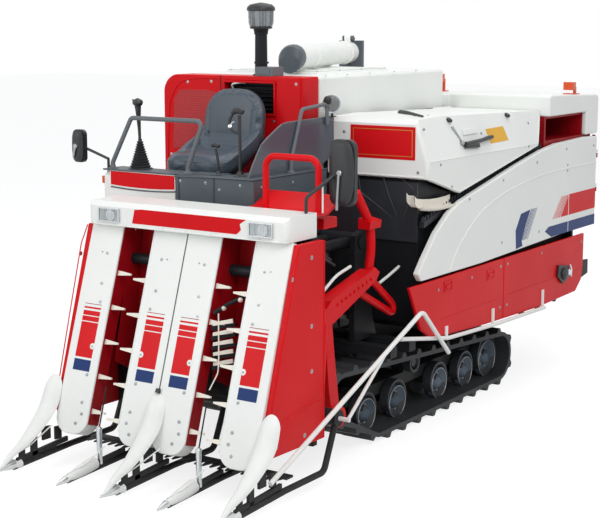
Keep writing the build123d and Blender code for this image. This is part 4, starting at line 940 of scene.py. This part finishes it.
def swell(piece):
    """Blow the foam up a little under its cover, and hold how far a point may move."""
    remesh = piece.modifiers.new("voxels", "REMESH")
    remesh.mode = "VOXEL"
    remesh.voxel_size = VOXEL
    settled(piece)
    start = [vertex.co.copy() for vertex in piece.data.vertices]
    cloth = piece.modifiers.new("cloth", "CLOTH")
    cloth.settings.use_pressure = True
    cloth.settings.uniform_pressure_force = PRESSURE
    cloth.settings.effector_weights.gravity = 0
    for number in range(1, SWELL_FRAMES + 1):
        scene.frame_set(number)
    settled(piece)
    for vertex, before in zip(piece.data.vertices, start):
        shift = vertex.co - before
        if shift.length > SWELL_CAP:
            vertex.co = before + shift.normalized() * SWELL_CAP
    scene.frame_set(1)


def round_outline(half_width, low, high, low_corner, high_corner):
    """Flat outline with one corner radius at its foot and one at its head."""
    outline = []
    for side, y, radius, start in (
        (1, high - high_corner, high_corner, 0), (-1, high - high_corner, high_corner, 90),
        (-1, low + low_corner, low_corner, 180), (1, low + low_corner, low_corner, 270),
    ):
        for angle in [radians(start + i * 11.25) for i in range(9)]:
            outline.append((side * (half_width - radius) + radius * cos(angle), y + radius * sin(angle)))
    return outline


def dished(x, y, rise):
    """How much the side and rear rolls of the bucket stand above its middle."""
    side = min(1.0, (abs(x) / 0.2) ** 4)
    rear = max(0.0, min(1.2, (y + 0.17) / 0.34))
    return rise * (side * rear ** 1.3 + 0.7 * rear ** 6)


def seat_pad(name, outline, depth, crown, place, seams, seam_depth, rise):
    """One padded piece of the seat with its seams pressed in and its rolled sides raised."""
    mesh = pad_form(outline, depth, crown)
    for vertex in mesh.verts:
        vertex.co.z += dished(vertex.co.x, vertex.co.y, rise)
    data = bpy.data.meshes.new(name)
    mesh.to_mesh(data)
    mesh.free()
    piece = bpy.data.objects.new(name, data)
    scene.collection.objects.link(piece)
    swell(piece)
    for vertex in piece.data.vertices:
        for start, end in seams:
            start = Vector(start)
            run = Vector(end) - start
            share = max(0.0, min(1.0, (vertex.co.xy - start).dot(run) / run.length_squared))
            away = (vertex.co.xy - start - run * share).length
            if vertex.co.z > 0:
                vertex.co.z -= seam_depth * exp(-(away / SEAM_WIDTH) ** 2)
    piece.data.transform(place)
    piece.data.materials.clear()
    piece.data.materials.append(FINISHES["seat_vinyl"])
    piece.data.shade_smooth()
    finer = piece.modifiers.new("finer", "SUBSURF")
    finer.levels = 1
    finer.render_levels = 1
    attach(piece, "machine")
    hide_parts("operator_seat")
    return piece


def lay_piping(mesh, pad, outline, place, lift, rise):
    """Piping that lies on the pad just outside its seam line."""
    tree = KDTree(len(pad.data.vertices))
    for vertex in pad.data.vertices:
        tree.insert(vertex.co, vertex.index)
    tree.balance()
    run = []
    for x, y in outline:
        aim = Vector((x * PIPING_OUT, y * PIPING_OUT, lift + dished(x, y, rise)))
        run.append(tree.find(place @ aim)[0])
    for _ in range(SMOOTHINGS):
        run = [(run[i - 1] + run[i] * 2 + run[(i + 1) % len(run)]) / 4 for i in range(len(run))]
    tube(mesh, run + run[:1], 0.0042)


cushion_outline = round_outline(0.226, -0.19, 0.21, 0.1, 0.05)
cushion_place = Matrix.Translation((SEAT_X, -0.756, 1.556)) @ Matrix.Rotation(radians(-1.5), 4, "X")
cushion_seams = (
    ((-0.15, -0.18), (-0.15, 0.17)), ((0.15, -0.18), (0.15, 0.17)), ((-0.15, 0.17), (0.15, 0.17)),
)
back_outline = round_outline(0.222, -0.15, 0.2, 0.07, 0.17)
back_place = Matrix.Translation((SEAT_X, -0.512, 1.79)) @ Matrix.Rotation(radians(82), 4, "X")
back_seams = (((-0.16, -0.15), (-0.16, 0.06)), ((0.16, -0.15), (0.16, 0.06)))
cushion = seat_pad(
    "seat_cushion", cushion_outline, 0.048, 0.014, cushion_place, cushion_seams, 0.006, BUCKET_RISE,
)
back_pad = seat_pad("seat_back", back_outline, 0.03, 0.012, back_place, back_seams, 0.005, 0.0)
piping = bmesh.new()
lay_piping(piping, cushion, cushion_outline, cushion_place, 0.034, BUCKET_RISE)
lay_piping(piping, back_pad, back_outline, back_place, 0.022, 0.0)
add_piece("seat_piping", piping, "machine", "seat_vinyl", FINISHES["grey_plastic"])
seat_iron = bmesh.new()
strap = (
    (-930, 1477), (-560, 1477), (-470, 1520), (-455, 1700), (-463, 1702), (-480, 1530), (-566, 1488),
    (-930, 1488),
)
for x in (-410, -130):
    prism(seat_iron, in_plane("x", x - 16, strap), LEFT * 0.032)
screws(seat_iron, [at(x, -900, 1488) for x in (-424, -396, -144, -116)], UP, 0.007)
shell = ((-450, -470, 1640), (-90, -470, 1640), (-110, -452, 1900), (-430, -452, 1900))
prism(seat_iron, [at(*corner) for corner in shell], REAR * 0.006)
add_piece("seat_irons", seat_iron, "machine", "black_paint", bevel=0.0012)


# Engine hood. Red sheet with a perforated air grille beside the seat, a vertical joint, a dark opening
# with its pipe behind the seat back, bolts, and a small intake box on the roof.
HOOD_Y = -410
grille = bmesh.new()
shape = ((-820, 1600), (-486, 1600), (-486, 1950), (-560, 1962), (-760, 1958), (-806, 1900))
prism(grille, in_plane("y", HOOD_Y - 0.5, shape), FRONT * 0.003)
add_piece("hood_grille", grille, "machine", "red_paint", RED_GRILLE)
hood_trim = bmesh.new()
rim = ((-872, 1180), (-866, 1500), (-846, 1880), (-770, 2008), (-640, 2030), (-452, 2032))
side_panel = ((-50, 1560), (120, 1560), (128, 1800), (128, 2040), (-36, 2040))
tube(hood_trim, in_plane("y", HOOD_Y - 1, rim), 0.0045, bend=0.06)
panel_ring(hood_trim, at(-236, HOOD_Y - 1, 1922), (0.19, 0.1), 0.01, 0.012)
prism(hood_trim, in_plane("y", HOOD_Y - 1, side_panel), FRONT * 0.005)
add_piece("hood_panels", hood_trim, "machine", "red_paint", bevel=0.002)
hood_dark = bmesh.new()
prism(hood_dark, oblong("y", HOOD_Y - 0.4, (-453, 1600), (-447, 2049)), FRONT * 0.0012)
prism(hood_dark, oblong("y", HOOD_Y + 66, (-419, 1827), (-53, 2018)), FRONT * 0.004)
for z in range(1850, 2006, 26):
    slat = ((-400, 40, z), (-70, 40, z), (-70, 58, z + 12), (-400, 58, z + 12))
    prism(hood_dark, [at(x, HOOD_Y + depth, height) for x, depth, height in slat], UP * 0.003)
add_piece("hood_opening", hood_dark, "machine", "black_paint", bevel=0.0008)
hood_bolts = bmesh.new()
sheet_bolts = ((-700, 2005), (-520, 2012), (-835, 1560), (-60, 1790), (-440, 1790))
screws(hood_bolts, in_plane("y", HOOD_Y - 0.5, sheet_bolts), FRONT)
screws(hood_bolts, in_plane("y", HOOD_Y - 6, ((100, 2010), (100, 1620))), FRONT)
add_piece("hood_bolts", hood_bolts, "machine", "polished_steel")
pipe = bmesh.new()
pipe_run = ((-372, 30, 1960), (-366, -6, 2000), (-300, -4, 2012), (-292, 30, 2006))
rod(pipe, [(x, HOOD_Y + depth, z) for x, depth, z in pipe_run], 0.006, bend=0.02)
add_piece("hood_pipe", pipe, "machine", "white_paint")
roof_box = bmesh.new()
prism(roof_box, oblong("y", -400, (-204, 2051), (-82, 2104)), REAR * 0.12)
prism(roof_box, oblong("y", -402, (-190, 2062), (-98, 2096)), FRONT * 0.002)
add_piece("roof_box", roof_box, "machine", "grey_paint", bevel=0.003)


# Air pre-cleaner. A black neck with two band clamps carries a clear bowl between a black base and a cap
# with a turned edge, joined by twelve thin ribs.
stack = at(-230, -300, 0)
neck = bmesh.new()
neck_form = ((2.05, 0.05), (2.056, 0.05), (2.062, 0.038), (2.30, 0.036), (2.31, 0.044), (2.325, 0.044))
lathe(neck, stack, UP, neck_form, 28)
for z in (2.12, 2.292):
    lathe(neck, stack, UP, ((z, 0.037), (z, 0.0415), (z + 0.012, 0.0415), (z + 0.012, 0.037)), 28)
tube(neck, [stack + Vector((0.04, -0.016, 2.126)), stack + Vector((0.04, 0.018, 2.126))], 0.005)
add_piece("cleaner_neck", neck, "machine", "black_paint", node="pre_cleaner")
bowl = bmesh.new()
lathe(bowl, stack, UP, ((2.335, 0.05), (2.34, 0.068), (2.36, 0.074), (2.425, 0.0765), (2.43, 0.075)), 32)
add_piece("cleaner_bowl", bowl, "machine", "smoked_plastic", CLEAR_BOWL)
cap = bmesh.new()
cap_top = (
    (2.428, 0.074), (2.43, 0.083), (2.442, 0.0845), (2.452, 0.081), (2.466, 0.066), (2.474, 0.03),
    (2.478, 0.004),
)
lathe(cap, stack, UP, ((2.322, 0.046), (2.326, 0.066), (2.336, 0.068), (2.34, 0.05)), 32)
lathe(cap, stack, UP, cap_top, 32)
for foot, head in zip(circle(stack, LEFT, REAR, 0.06, 12), circle(stack, LEFT, REAR, 0.066, 12)):
    tube(cap, [foot + UP * 2.34, head + UP * 2.428], 0.0035, 6)
add_piece("cleaner_cap", cap, "machine", "black_plastic")


# Smoked panel and work lamp. A tinted sheet with a pale edge strip stands beside the driver, and a round
# lamp with a chromed bowl and fluted glass looks forward from the corner of the lid.
LAMP_AIM = (0.5, -0.85, 0.03)
LAMP_PLACE = at(236, -246, 1895)
edge_strip = bmesh.new()
edge_run = ((-1078, 1538), (-1050, 1592), (-960, 1712), (-760, 1812), (-242, 1822))
tube(edge_strip, in_plane("x", 240, edge_run), 0.0045, bend=0.06)
add_piece("smoked_panel_edge", edge_strip, "machine", "grey_paint")
lamp = bmesh.new()
lamp_back = ((-0.004, 0.012), (0.0, 0.03), (0.012, 0.044), (0.03, 0.05), (0.046, 0.052), (0.05, 0.05))
lathe(lamp, LAMP_PLACE, LAMP_AIM, lamp_back, 32)
rod(lamp, ((240, -248, 1850), (240, -250, 1822)), 0.008, 10)
prism(lamp, oblong("z", 1819, (222, -270), (258, -232)), UP * 0.006)
add_piece("work_lamp_shell", lamp, "machine", "black_plastic", node="work_lamp")
silvered = bmesh.new()
lathe(silvered, LAMP_PLACE, LAMP_AIM, (
    (0.004, 0.006), (0.02, 0.036), (0.047, 0.0505), (0.052, 0.0545), (0.057, 0.0525), (0.053, 0.046),
    (0.034, 0.038), (0.022, 0.014),
), 32)
add_piece("work_lamp_bowl", silvered, "machine", "polished_steel", BOWL)
pane = bmesh.new()
lathe(pane, LAMP_PLACE, LAMP_AIM, ((0.0525, 0.0465), (0.0545, 0.044), (0.0575, 0.03), (0.0585, 0.008)), 32)
add_piece("work_lamp_glass", pane, "machine", "lamp_lens", LAMP_GLASS)


# Threshing lid fittings. The lid carries a bare red plate with a gilt border line, a latch handle with
# its strike plate, two rubber stops, a hand lever on the roof, screws and a plain yellow patch.
LID_FRONT = -230
LID_FACE = 870
LID_FOLD = 1584


def on_lid(y, z, out=0.0):
    """Point on the folded left wall of the lid, raised from it by the given millimetres."""
    if z < LID_FOLD:
        return at(LID_FACE + out, y, z)
    return at(LID_FACE - 0.34 * (z - LID_FOLD) + out * 0.947, y, z + out * 0.322)


lid_out = on_lid(0, 1700, 1) - on_lid(0, 1700, 0)


def lid_plate(mesh, pairs, out, thick):
    """Small plate that lies on the slanting wall of the lid; thick is millimetres."""
    prism(mesh, [on_lid(y, z, out) for y, z in pairs], lid_out * thick)


red_plate = bmesh.new()
prism(red_plate, oblong("y", LID_FRONT - 0.4, (356, 1592), (787, 1780)), FRONT * 0.002)
add_piece("lid_plate", red_plate, "threshing_lid", "red_paint", bevel=0.0008)
line = bmesh.new()
panel_ring(line, at(571.5, LID_FRONT - 2.3, 1686), (0.197, 0.076), 0.0006, 0.003)
add_piece("lid_plate_border", line, "threshing_lid", "red_paint", GILT)
lid_screws = bmesh.new()
front_screws = ((214, 1735), (312, 1735), (840, 1770), (372, 1530), (806, 1525), (330, 1530))
screws(lid_screws, in_plane("y", LID_FRONT - 0.5, front_screws), FRONT)
screws(lid_screws, [on_lid(y, z, 0.3) for y, z in ((-80, 1560), (60, 1420), (1100, 1580))], LEFT)
screws(lid_screws, [on_lid(y, z, 0.3) for y, z in ((500, 1700), (1180, 1720))], lid_out)
add_piece("lid_screws", lid_screws, "threshing_lid", "polished_steel")
lid_rims = bmesh.new()
side_rim = ((-196, 1486), (158, 1381), (1234, 1577), (1300, 1660), (1372, 1752))
tube(lid_rims, in_plane("y", LID_FRONT - 0.5, [(x, 1497) for x in (206, 400, 640, 846)]), 0.005)
tube(lid_rims, [on_lid(y, z, 0.2) for y, z in side_rim], 0.0045, bend=0.03)
tube(lid_rims, [on_lid(y, 1585, 0.4) for y in (-200, 100, 400, 700, 1000, 1238)], 0.003)
add_piece("lid_rims", lid_rims, "threshing_lid", "white_paint")
strike = bmesh.new()
lid_plate(strike, ((262, 1702), (440, 1704), (440, 1734), (262, 1738)), 0.5, 7)
add_piece("latch_plate", strike, "threshing_lid", "white_paint", bevel=0.002)
latch = bmesh.new()
lid_plate(latch, ((142, 1758), (166, 1762), (252, 1634), (236, 1622), (222, 1640), (206, 1690)), 1, 6)
lathe(latch, on_lid(214, 1660, 0.5), lid_out, ((0, 0.014), (0.016, 0.014), (0.02, 0.009)), 14)
add_piece("latch_iron", latch, "threshing_lid", "polished_steel", bevel=0.0012)
handle = bmesh.new()
grip = ((236, 1648, 16), (330, 1650, 24), (420, 1656, 28), (520, 1664, 26), (590, 1668, 22))
tube(handle, [on_lid(*place) for place in grip], (0.014, 0.016, 0.012, 0.013, 0.011), 12)
lid_plate(handle, ((232, 1628), (400, 1620), (404, 1650), (232, 1664)), 4, 18)
for y, z in ((138, 1806), (900, 1792)):
    rubber = ((0, 0.02), (0.006, 0.022), (0.014, 0.02), (0.018, 0.012))
    lathe(handle, on_lid(y, z - 12, 0), (0.5, 0, 1), rubber, 16)
lever = ((431, 213, 1826), (520, 130, 1832), (640, 30, 1832), (726, -40, 1828))
rod(handle, lever, (0.017, 0.014, 0.008, 0.007), 12)
lathe(handle, at(650, 24, 1820), UP, ((0, 0.02), (0.008, 0.02), (0.014, 0.012)), 16)
add_piece("lid_handles", handle, "threshing_lid", "black_plastic", bevel=0.002)
patch = bmesh.new()
lid_plate(patch, ((590, 1632), (836, 1636), (812, 1724), (566, 1720)), 0.3, 0.8)
add_piece("lid_yellow_patch", patch, "threshing_lid", "white_paint", YELLOW_PAINT)
roof_screws = bmesh.new()
screws(roof_screws, in_plane("z", 1825, ((560, 60), (620, 90), (680, 110))), UP, 0.005)
add_piece("lid_roof_screws", roof_screws, "threshing_lid", "polished_steel")


# Stripes of the side cover. Cut film on the white sheet: a blue wedge and a red band that begin with
# slanted lines, a thinner blue band below, a pressed fold line and small screws.
COVER_FACE = 890
LINES = 5


def film(mesh, outline):
    """Cut film laid on the side cover."""
    prism(mesh, in_plane("x", COVER_FACE + 0.2, outline), LEFT * 0.0006)


blue_film = bmesh.new()
film(blue_film, ((893, 1060), (967, 1159), (1108, 1172), (1040, 1075), (985, 990), (1000, 948), (905, 940)))
film(blue_film, ((1343, 998), (1402, 1023), (1716, 1023), (1716, 950), (1446, 950)))
film(blue_film, ((1727, 1023), (2185, 1023), (2185, 950), (1727, 950)))
for i in range(LINES):
    y = 1122 + i * 21
    film(blue_film, ((y, 1173), (y + 10 - i, 1173), (y - 128 - i, 985), (y - 138, 985)))
add_piece("cover_blue_film", blue_film, "side_door", "white_paint", BLUE_PAINT)
red_film = bmesh.new()
film(red_film, ((1592, 1066), (1716, 1199), (1716, 1066)))
film(red_film, ((1727, 1208), (2185, 1208), (2185, 1066), (1727, 1066)))
for i in range(LINES):
    y = 1462 + i * 25
    film(red_film, ((y, 1066), (y + 9 + i, 1066), (y + 150 + i, 1206), (y + 141, 1206)))
add_piece("cover_red_film", red_film, "side_door", "red_paint")
fold = bmesh.new()
fold_run = (
    (20, 935), (70, 1010), (162, 1097), (387, 1236), (761, 1330), (1197, 1376), (1671, 1393), (2185, 1384),
)
tube(fold, in_plane("x", COVER_FACE + 0.4, fold_run), 0.0035, bend=0.12)
prism(fold, oblong("x", COVER_FACE + 0.2, (1719, 1030), (1724, 1390)), LEFT * 0.001)
add_piece("cover_fold", fold, "side_door", "white_paint")
cover_screws = bmesh.new()
places = (
    (250, 1330), (700, 1400), (1190, 1470), (1660, 1520), (2130, 1510), (1684, 1410), (1684, 1372),
    (700, 1010), (1250, 1010),
)
screws(cover_screws, in_plane("x", COVER_FACE + 0.3, places), LEFT)
add_piece("cover_screws", cover_screws, "side_door", "polished_steel")


# Skirt and its fittings. Red sheet with two recessed catches, a work light in a black shroud on the
# seam, auger ends below the edge, and a rubber flap behind.
catches = bmesh.new()
for y, z in ((0, 846), (554, 830)):
    panel_ring(catches, at(COVER_FACE + 0.4, y, z), (0.05, 0.033), 0.003, 0.009, out=LEFT)
    prism(catches, oblong("x", COVER_FACE + 0.3, (y - 30, z - 14), (y + 30, z + 10)), LEFT * 0.005)
for start, end in ((-90, 715), (805, 1980)):
    tube(catches, in_plane("x", COVER_FACE + 0.2, ((start, 662), (end, 662))), 0.0025, 6)
add_piece("skirt_catches", catches, "machine", "red_paint", bevel=0.001)
skirt_screws = bmesh.new()
places = ((-120, 840), (690, 860), (790, 862), (1960, 850), (690, 600), (790, 600), (1300, 860), (300, 850))
screws(skirt_screws, in_plane("x", COVER_FACE + 0.3, places), LEFT)
add_piece("skirt_screws", skirt_screws, "machine", "polished_steel")
plug = bmesh.new()
shroud = ((1560, 742), (1730, 716), (1738, 636), (1630, 606), (1545, 668))
lathe(plug, at(893, 1650, 672), LEFT, ((0, 0.044), (0.02, 0.044), (0.032, 0.036), (0.038, 0.012)), 20)
prism(plug, in_plane("x", COVER_FACE + 0.5, shroud), LEFT * 0.016)
add_piece("skirt_plug", plug, "machine", "black_plastic", bevel=0.003)
plug_cap = bmesh.new()
lathe(plug_cap, at(906, 1690, 678), LEFT, ((0, 0.022), (0.02, 0.022), (0.028, 0.015)), 16)
rod(plug_cap, ((914, 1720, 730), (918, 1742, 690), (914, 1746, 640)), 0.006)
add_piece("skirt_plug_cap", plug_cap, "machine", "polished_steel", CHROME)
ends = bmesh.new()
for y, z, reach in ((1080, 505, 0.05), (1330, 505, 0.055), (1600, 515, 0.05)):
    steps = ((0, 0.6), (0.012, 0.6), (0.014, 0.4), (0.05, 0.4), (0.052, 0.7), (0.064, 0.7), (0.07, 0.3))
    lathe(ends, at(800, y, z), LEFT, [(along, reach * share) for along, share in steps])
prism(ends, in_plane("x", 780, ((1010, 470), (1700, 486), (1720, 560), (1000, 560))), LEFT * 0.012)
prism(ends, in_plane("x", 862, ((1900, 560), (2150, 600), (2146, 700), (1900, 720))), LEFT * 0.007)
add_piece("auger_ends", ends, "machine", "black_paint", bevel=0.0015)


# Straw guides. Two curved pale plates under the lid's front corner steer the straw on to the feed chain,
# and the rubber curtain beside them hangs in soft folds.
GUIDE_Z = 1352
GUIDE_DEPTH = 34
GUIDE_LIP = 30
GUIDE_SHEET = 0.0025
GUIDE_STEPS = 8
guides = bmesh.new()
guide_run = ((-298, 60), (-276, 28), (-200, 6), (-120, -8), (-30, -14), (60, -10), (120, 0))
for inner, width, drop in ((772, 46, 0), (826, 58, -16)):
    middle = inner + width / 2
    rings = []
    for y, rise in guide_run:
        section = []
        for i in range(GUIDE_STEPS + 1):
            angle = radians(180 + i * 20)
            z = GUIDE_Z + drop + rise * 0.5 + GUIDE_DEPTH * sin(angle) + (GUIDE_LIP if i == 0 else 0)
            section.append(at(middle + width / 2 * cos(angle), y, z))
        above = [point + UP * GUIDE_SHEET for point in section]
        rings.append(add_ring(guides, section + above[::-1]))
    bridge(guides, rings, closed=False)
    for ring in (rings[0], rings[-1]):
        for i in range(GUIDE_STEPS):
            guides.faces.new((ring[i], ring[i + 1], ring[-2 - i], ring[-1 - i]))
add_piece("straw_guides", guides, "machine", "cream_plastic")
curtain_folds = bmesh.new()
for run in (
    ((392, 1492), (411, 1384), (678, 1222)), ((674, 1492), (760, 1428), (690, 1226)),
    ((560, 1494), (600, 1380), (672, 1230)),
):
    tube(curtain_folds, in_plane("y", -203, run), (0.006, 0.009, 0.004))
add_piece("curtain_folds", curtain_folds, "machine", "curtain_rubber")


# Crawler wheels. Each roller and the idler have a dished disc with a hub and five bolts, and a pale worn
# rim; a mud guard plate closes the frame behind them.
WHEEL_OUT = 0.63
ROLLERS = [(y, 141, 0.101) for y in (-480, -130, 390, 740)] + [(1050, 166, 0.127)]
discs = bmesh.new()
rims = bmesh.new()
for face in (LEFT, RIGHT):
    for y, z, radius in ROLLERS:
        centre = at(0, y, z - 1) + face * WHEEL_OUT
        lathe(discs, centre, face, (
            (-0.03, radius - 0.004), (0.002, radius - 0.004), (-0.004, radius - 0.014),
            (-0.02, radius - 0.03), (-0.026, 0.046), (-0.008, 0.038), (0.0, 0.028), (0.004, 0.02),
            (0.005, 0.006),
        ), 32)
        edge = circle(centre + face * 0.002, REAR, UP, radius - 0.007, 32)
        tube(rims, edge + edge[:1], 0.0026, 6)
        screws(rims, circle(centre - face * 0.024, REAR, UP, 0.056, 5), face, 0.007)
add_piece("roller_discs", discs, "machine", "dark_steel", WHEEL_PAINT)
add_piece("roller_rims", rims, "machine", "dark_steel", FINISHES["polished_steel"])
guard = bmesh.new()
outline = ((-720, 330), (-600, 150), (1020, 150), (1080, 300), (900, 560), (-300, 560))
for side in (-1, 1):
    prism(guard, in_plane("x", side * 322, outline), LEFT * side * 0.004)
add_piece("mud_guards", guard, "machine", "black_paint")


# Roof fittings. The tank roof has a pressed border, three cross ribs and a row of screws along each side,
# and one more row of screws runs along the edge of the hood.
TANK_TOP = 2065
roof_trim = bmesh.new()
panel_ring(roof_trim, at(-390, 450, TANK_TOP), (0.33, 0.4), 0.004, 0.014, out=UP, rise=REAR)
for y in (180, 450, 720):
    rod(roof_trim, ((-690, y, TANK_TOP), (-90, y, TANK_TOP)), 0.006)
add_piece("roof_ribs", roof_trim, "machine", "white_paint", bevel=0.0015)
roof_screws = bmesh.new()
places = [(x, y) for x in (-720, -60) for y in (50, 300, 560, 850)]
screws(roof_screws, in_plane("z", TANK_TOP - 0.5, places), UP, 0.007)
screws(roof_screws, in_plane("z", 2051, [(150, y) for y in (-180, 60, 320, 620, 900)]), UP)
add_piece("roof_screws", roof_screws, "machine", "polished_steel")


# Unloading auger. Rolled white tubes joined by bolted clamp bands: one stands on its gear case at the
# rear right corner, one lies over the roof and ends in a grey spout that is cut on the slant.
BAND = ((0, 0.0755), (0.003, 0.081), (0.022, 0.081), (0.025, 0.0755))
BAND_RADIUS = 0.081
foot = at(-700, 1470, 0)
knee = at(-700, 1470, 2150)
mouth = at(-200, -20, 2150)
along = (mouth - knee).normalized()
bands = bmesh.new()
arm_bands = bmesh.new()
for height in (0.74, 1.28, 1.55, 1.925):
    lathe(bands, foot + UP * height, UP, BAND, 32)
for share in (0.16, 0.45, 0.74, 0.955):
    lathe(arm_bands, knee + (mouth - knee) * share, along, BAND, 32)
add_piece("column_bands", bands, "machine", "white_paint", smooth=30)
add_piece("tube_bands", arm_bands, "auger_arm", "white_paint", smooth=30)
column_bolts = bmesh.new()
for height in (0.752, 1.292, 1.562, 1.937):
    for angle in (200, 340, 90):
        out = LEFT * cos(radians(angle)) + REAR * sin(radians(angle))
        screws(column_bolts, [foot + out * BAND_RADIUS + UP * height], out, 0.007)
places = [(x, z) for x in (-785, -615) for z in (640, 680)]
screws(column_bolts, in_plane("y", 1571, places), REAR, 0.009)
add_piece("column_bolts", column_bolts, "machine", "polished_steel")
spout = bmesh.new()
across = along.cross(UP).normalized()
rings = []
for reach, width, top, low in (
    (-0.06, 0.079, 0.079, -0.079), (0.0, 0.079, 0.079, -0.079), (0.035, 0.076, 0.068, -0.088),
    (0.06, 0.068, 0.02, -0.094),
):
    centre = mouth + along * reach + UP * (top + low) / 2
    rings.append(add_ring(spout, circle(centre, across * width, UP * (top - low) / 2, 1, 20)))
bridge(spout, rings)
add_piece("tube_spout", spout, "auger_arm", "grey_plastic")


# Tank side. White sheet with pressed upright ribs, a clean-out hatch with a catch, two sight glasses in
# rubber rings and rows of screws.
TANK_FACE = -870
SIGHT_RING = ((0, 0.052), (0.008, 0.052), (0.01, 0.044), (0.005, 0.041), (0.004, 0.02))
ribs = bmesh.new()
for y in (20, 420, 820, 1190):
    prism(ribs, oblong("x", TANK_FACE - 0.2, (y - 24, 920), (y + 24, 1960)), RIGHT * 0.006)
panel_ring(ribs, at(TANK_FACE - 0.4, 620, 1240), (0.15, 0.2), 0.005, 0.016, out=RIGHT)
prism(ribs, oblong("x", TANK_FACE - 0.2, (486, 1056), (754, 1424)), RIGHT * 0.004)
add_piece("tank_ribs", ribs, "machine", "white_paint", bevel=0.003)
sight = bmesh.new()
panes = bmesh.new()
for z in (1780, 1580):
    lathe(sight, at(TANK_FACE - 0.5, 220, z), RIGHT, SIGHT_RING, 28)
    lathe(panes, at(TANK_FACE - 5.5, 220, z), RIGHT, ((0, 0.041), (0.002, 0.04), (0.004, 0.02)), 24)
catch = ((604, 1404), (636, 1404), (630, 1444), (610, 1444))
prism(sight, in_plane("x", TANK_FACE - 4, catch), RIGHT * 0.012)
add_piece("sight_rings", sight, "machine", "black_plastic", bevel=0.001)
add_piece("sight_panes", panes, "machine", "lamp_lens", LAMP_GLASS)
tank_screws = bmesh.new()
places = [(y, z) for z in (940, 1200, 1460, 1720, 1940) for y in (-40, 1250)]
places += [(y, 2010) for y in (60, 300, 540, 780, 1020, 1240)]
screws(tank_screws, in_plane("x", TANK_FACE - 0.5, places), RIGHT, 0.007)
add_piece("tank_screws", tank_screws, "machine", "polished_steel")


# Radiator screen. A red frame around a fine black mesh, with a pull knob and corner screws, so that chaff
# can be brushed off.
SCREEN_FACE = -890
screen_frame = bmesh.new()
panel_ring(screen_frame, at(SCREEN_FACE - 0.4, -580, 860), (0.29, 0.19), 0.006, 0.024, out=RIGHT)
prism(screen_frame, oblong("x", SCREEN_FACE - 0.2, (-584, 672), (-576, 1048)), RIGHT * 0.006)
add_piece("screen_frame", screen_frame, "radiator_door", "red_paint", bevel=0.002)
screen_mesh = bmesh.new()
prism(screen_mesh, oblong("x", SCREEN_FACE - 0.1, (-866, 672), (-294, 1048)), RIGHT * 0.002)
add_piece("screen_mesh", screen_mesh, "radiator_door", "black_paint", DARK_GRILLE)
pull = bmesh.new()
pull_form = ((0, 0.008), (0.01, 0.008), (0.012, 0.013), (0.022, 0.012), (0.026, 0.006))
lathe(pull, at(SCREEN_FACE - 0.2, -884, 860), RIGHT, pull_form, 16)
screws(pull, in_plane("x", SCREEN_FACE - 0.3, ((-884, 668), (-884, 1052), (-276, 1052))), RIGHT)
add_piece("screen_knob", pull, "radiator_door", "black_plastic")


# Rear of the cutter and chassis. Dark red sheet with a seam, a hinged cleaning door, its grip and screws;
# tail lamps and reflectors stand on the black end plate.
CUTTER_BACK = 2196
CHASSIS_BACK = 1910
TAIL = ((0, 0.03), (0.01, 0.03), (0.016, 0.024), (0.018, 0.008))
REFLECTOR = ((0, 0.026), (0.006, 0.026), (0.008, 0.02), (0.008, 0.004))
back_red = bmesh.new()
panel_ring(back_red, at(455, CUTTER_BACK + 0.5, 1380), (0.34, 0.17), 0.006, 0.02, out=REAR)
prism(back_red, oblong("y", CUTTER_BACK + 0.3, (120, 1216), (790, 1544)), REAR * 0.004)
for x in (40, 860):
    prism(back_red, oblong("y", CUTTER_BACK + 0.3, (x - 12, 1100), (x + 12, 1580)), REAR * 0.005)
add_piece("cutter_back_folds", back_red, "machine", "dark_red_paint", bevel=0.0015)
back_dark = bmesh.new()
for x in (250, 660):
    rod(back_dark, ((x - 40, CUTTER_BACK + 8, 1552), (x + 40, CUTTER_BACK + 8, 1552)), 0.009, 10)
door_grip = ((390, 2, 1262), (390, 26, 1262), (520, 26, 1262), (520, 2, 1262))
rod(back_dark, [(x, CUTTER_BACK + out, z) for x, out, z in door_grip], 0.006, bend=0.012)
for x in (-620, 690):
    prism(back_dark, oblong("y", CHASSIS_BACK + 0.4, (x - 70, 960), (x + 70, 1060)), REAR * 0.02)
for x in (-560, -280, 0, 280, 560):
    prism(back_dark, oblong("y", CHASSIS_BACK + 0.2, (x - 10, 580), (x + 10, 900)), REAR * 0.008)
add_piece("rear_irons", back_dark, "machine", "black_paint", bevel=0.0015)
tail = bmesh.new()
reflect = bmesh.new()
for x in (-655, 655):
    lathe(tail, at(x, CHASSIS_BACK + 20.6, 1010), REAR, TAIL, 24)
for x in (-585, 725):
    lathe(reflect, at(x, CHASSIS_BACK + 20.6, 1010), REAR, REFLECTOR, 24)
add_piece("tail_lamps", tail, "machine", "orange_lens")
add_piece("tail_reflectors", reflect, "machine", "red_paint")
rear_screws = bmesh.new()
places = [(x, z) for x in (60, 455, 850) for z in (1120, 1700)]
screws(rear_screws, in_plane("y", CUTTER_BACK + 0.4, places), REAR, 0.007)
places = [(x, z) for x in (-800, -300, 300, 780) for z in (560, 1064)]
screws(rear_screws, in_plane("y", CHASSIS_BACK + 0.3, places), REAR, 0.008)
add_piece("rear_screws", rear_screws, "machine", "polished_steel")


# Deck side. Thirteen pressed bars stand across the step edge of the deck, so that a boot holds on it when
# it is wet.
step = bmesh.new()
for y in range(-1080, -755, 26):
    prism(step, oblong("z", 1120.5, (-870, y), (-640, y + 9)), UP * 0.003)
add_piece("step_tread", step, "machine", "grey_paint", bevel=0.001)
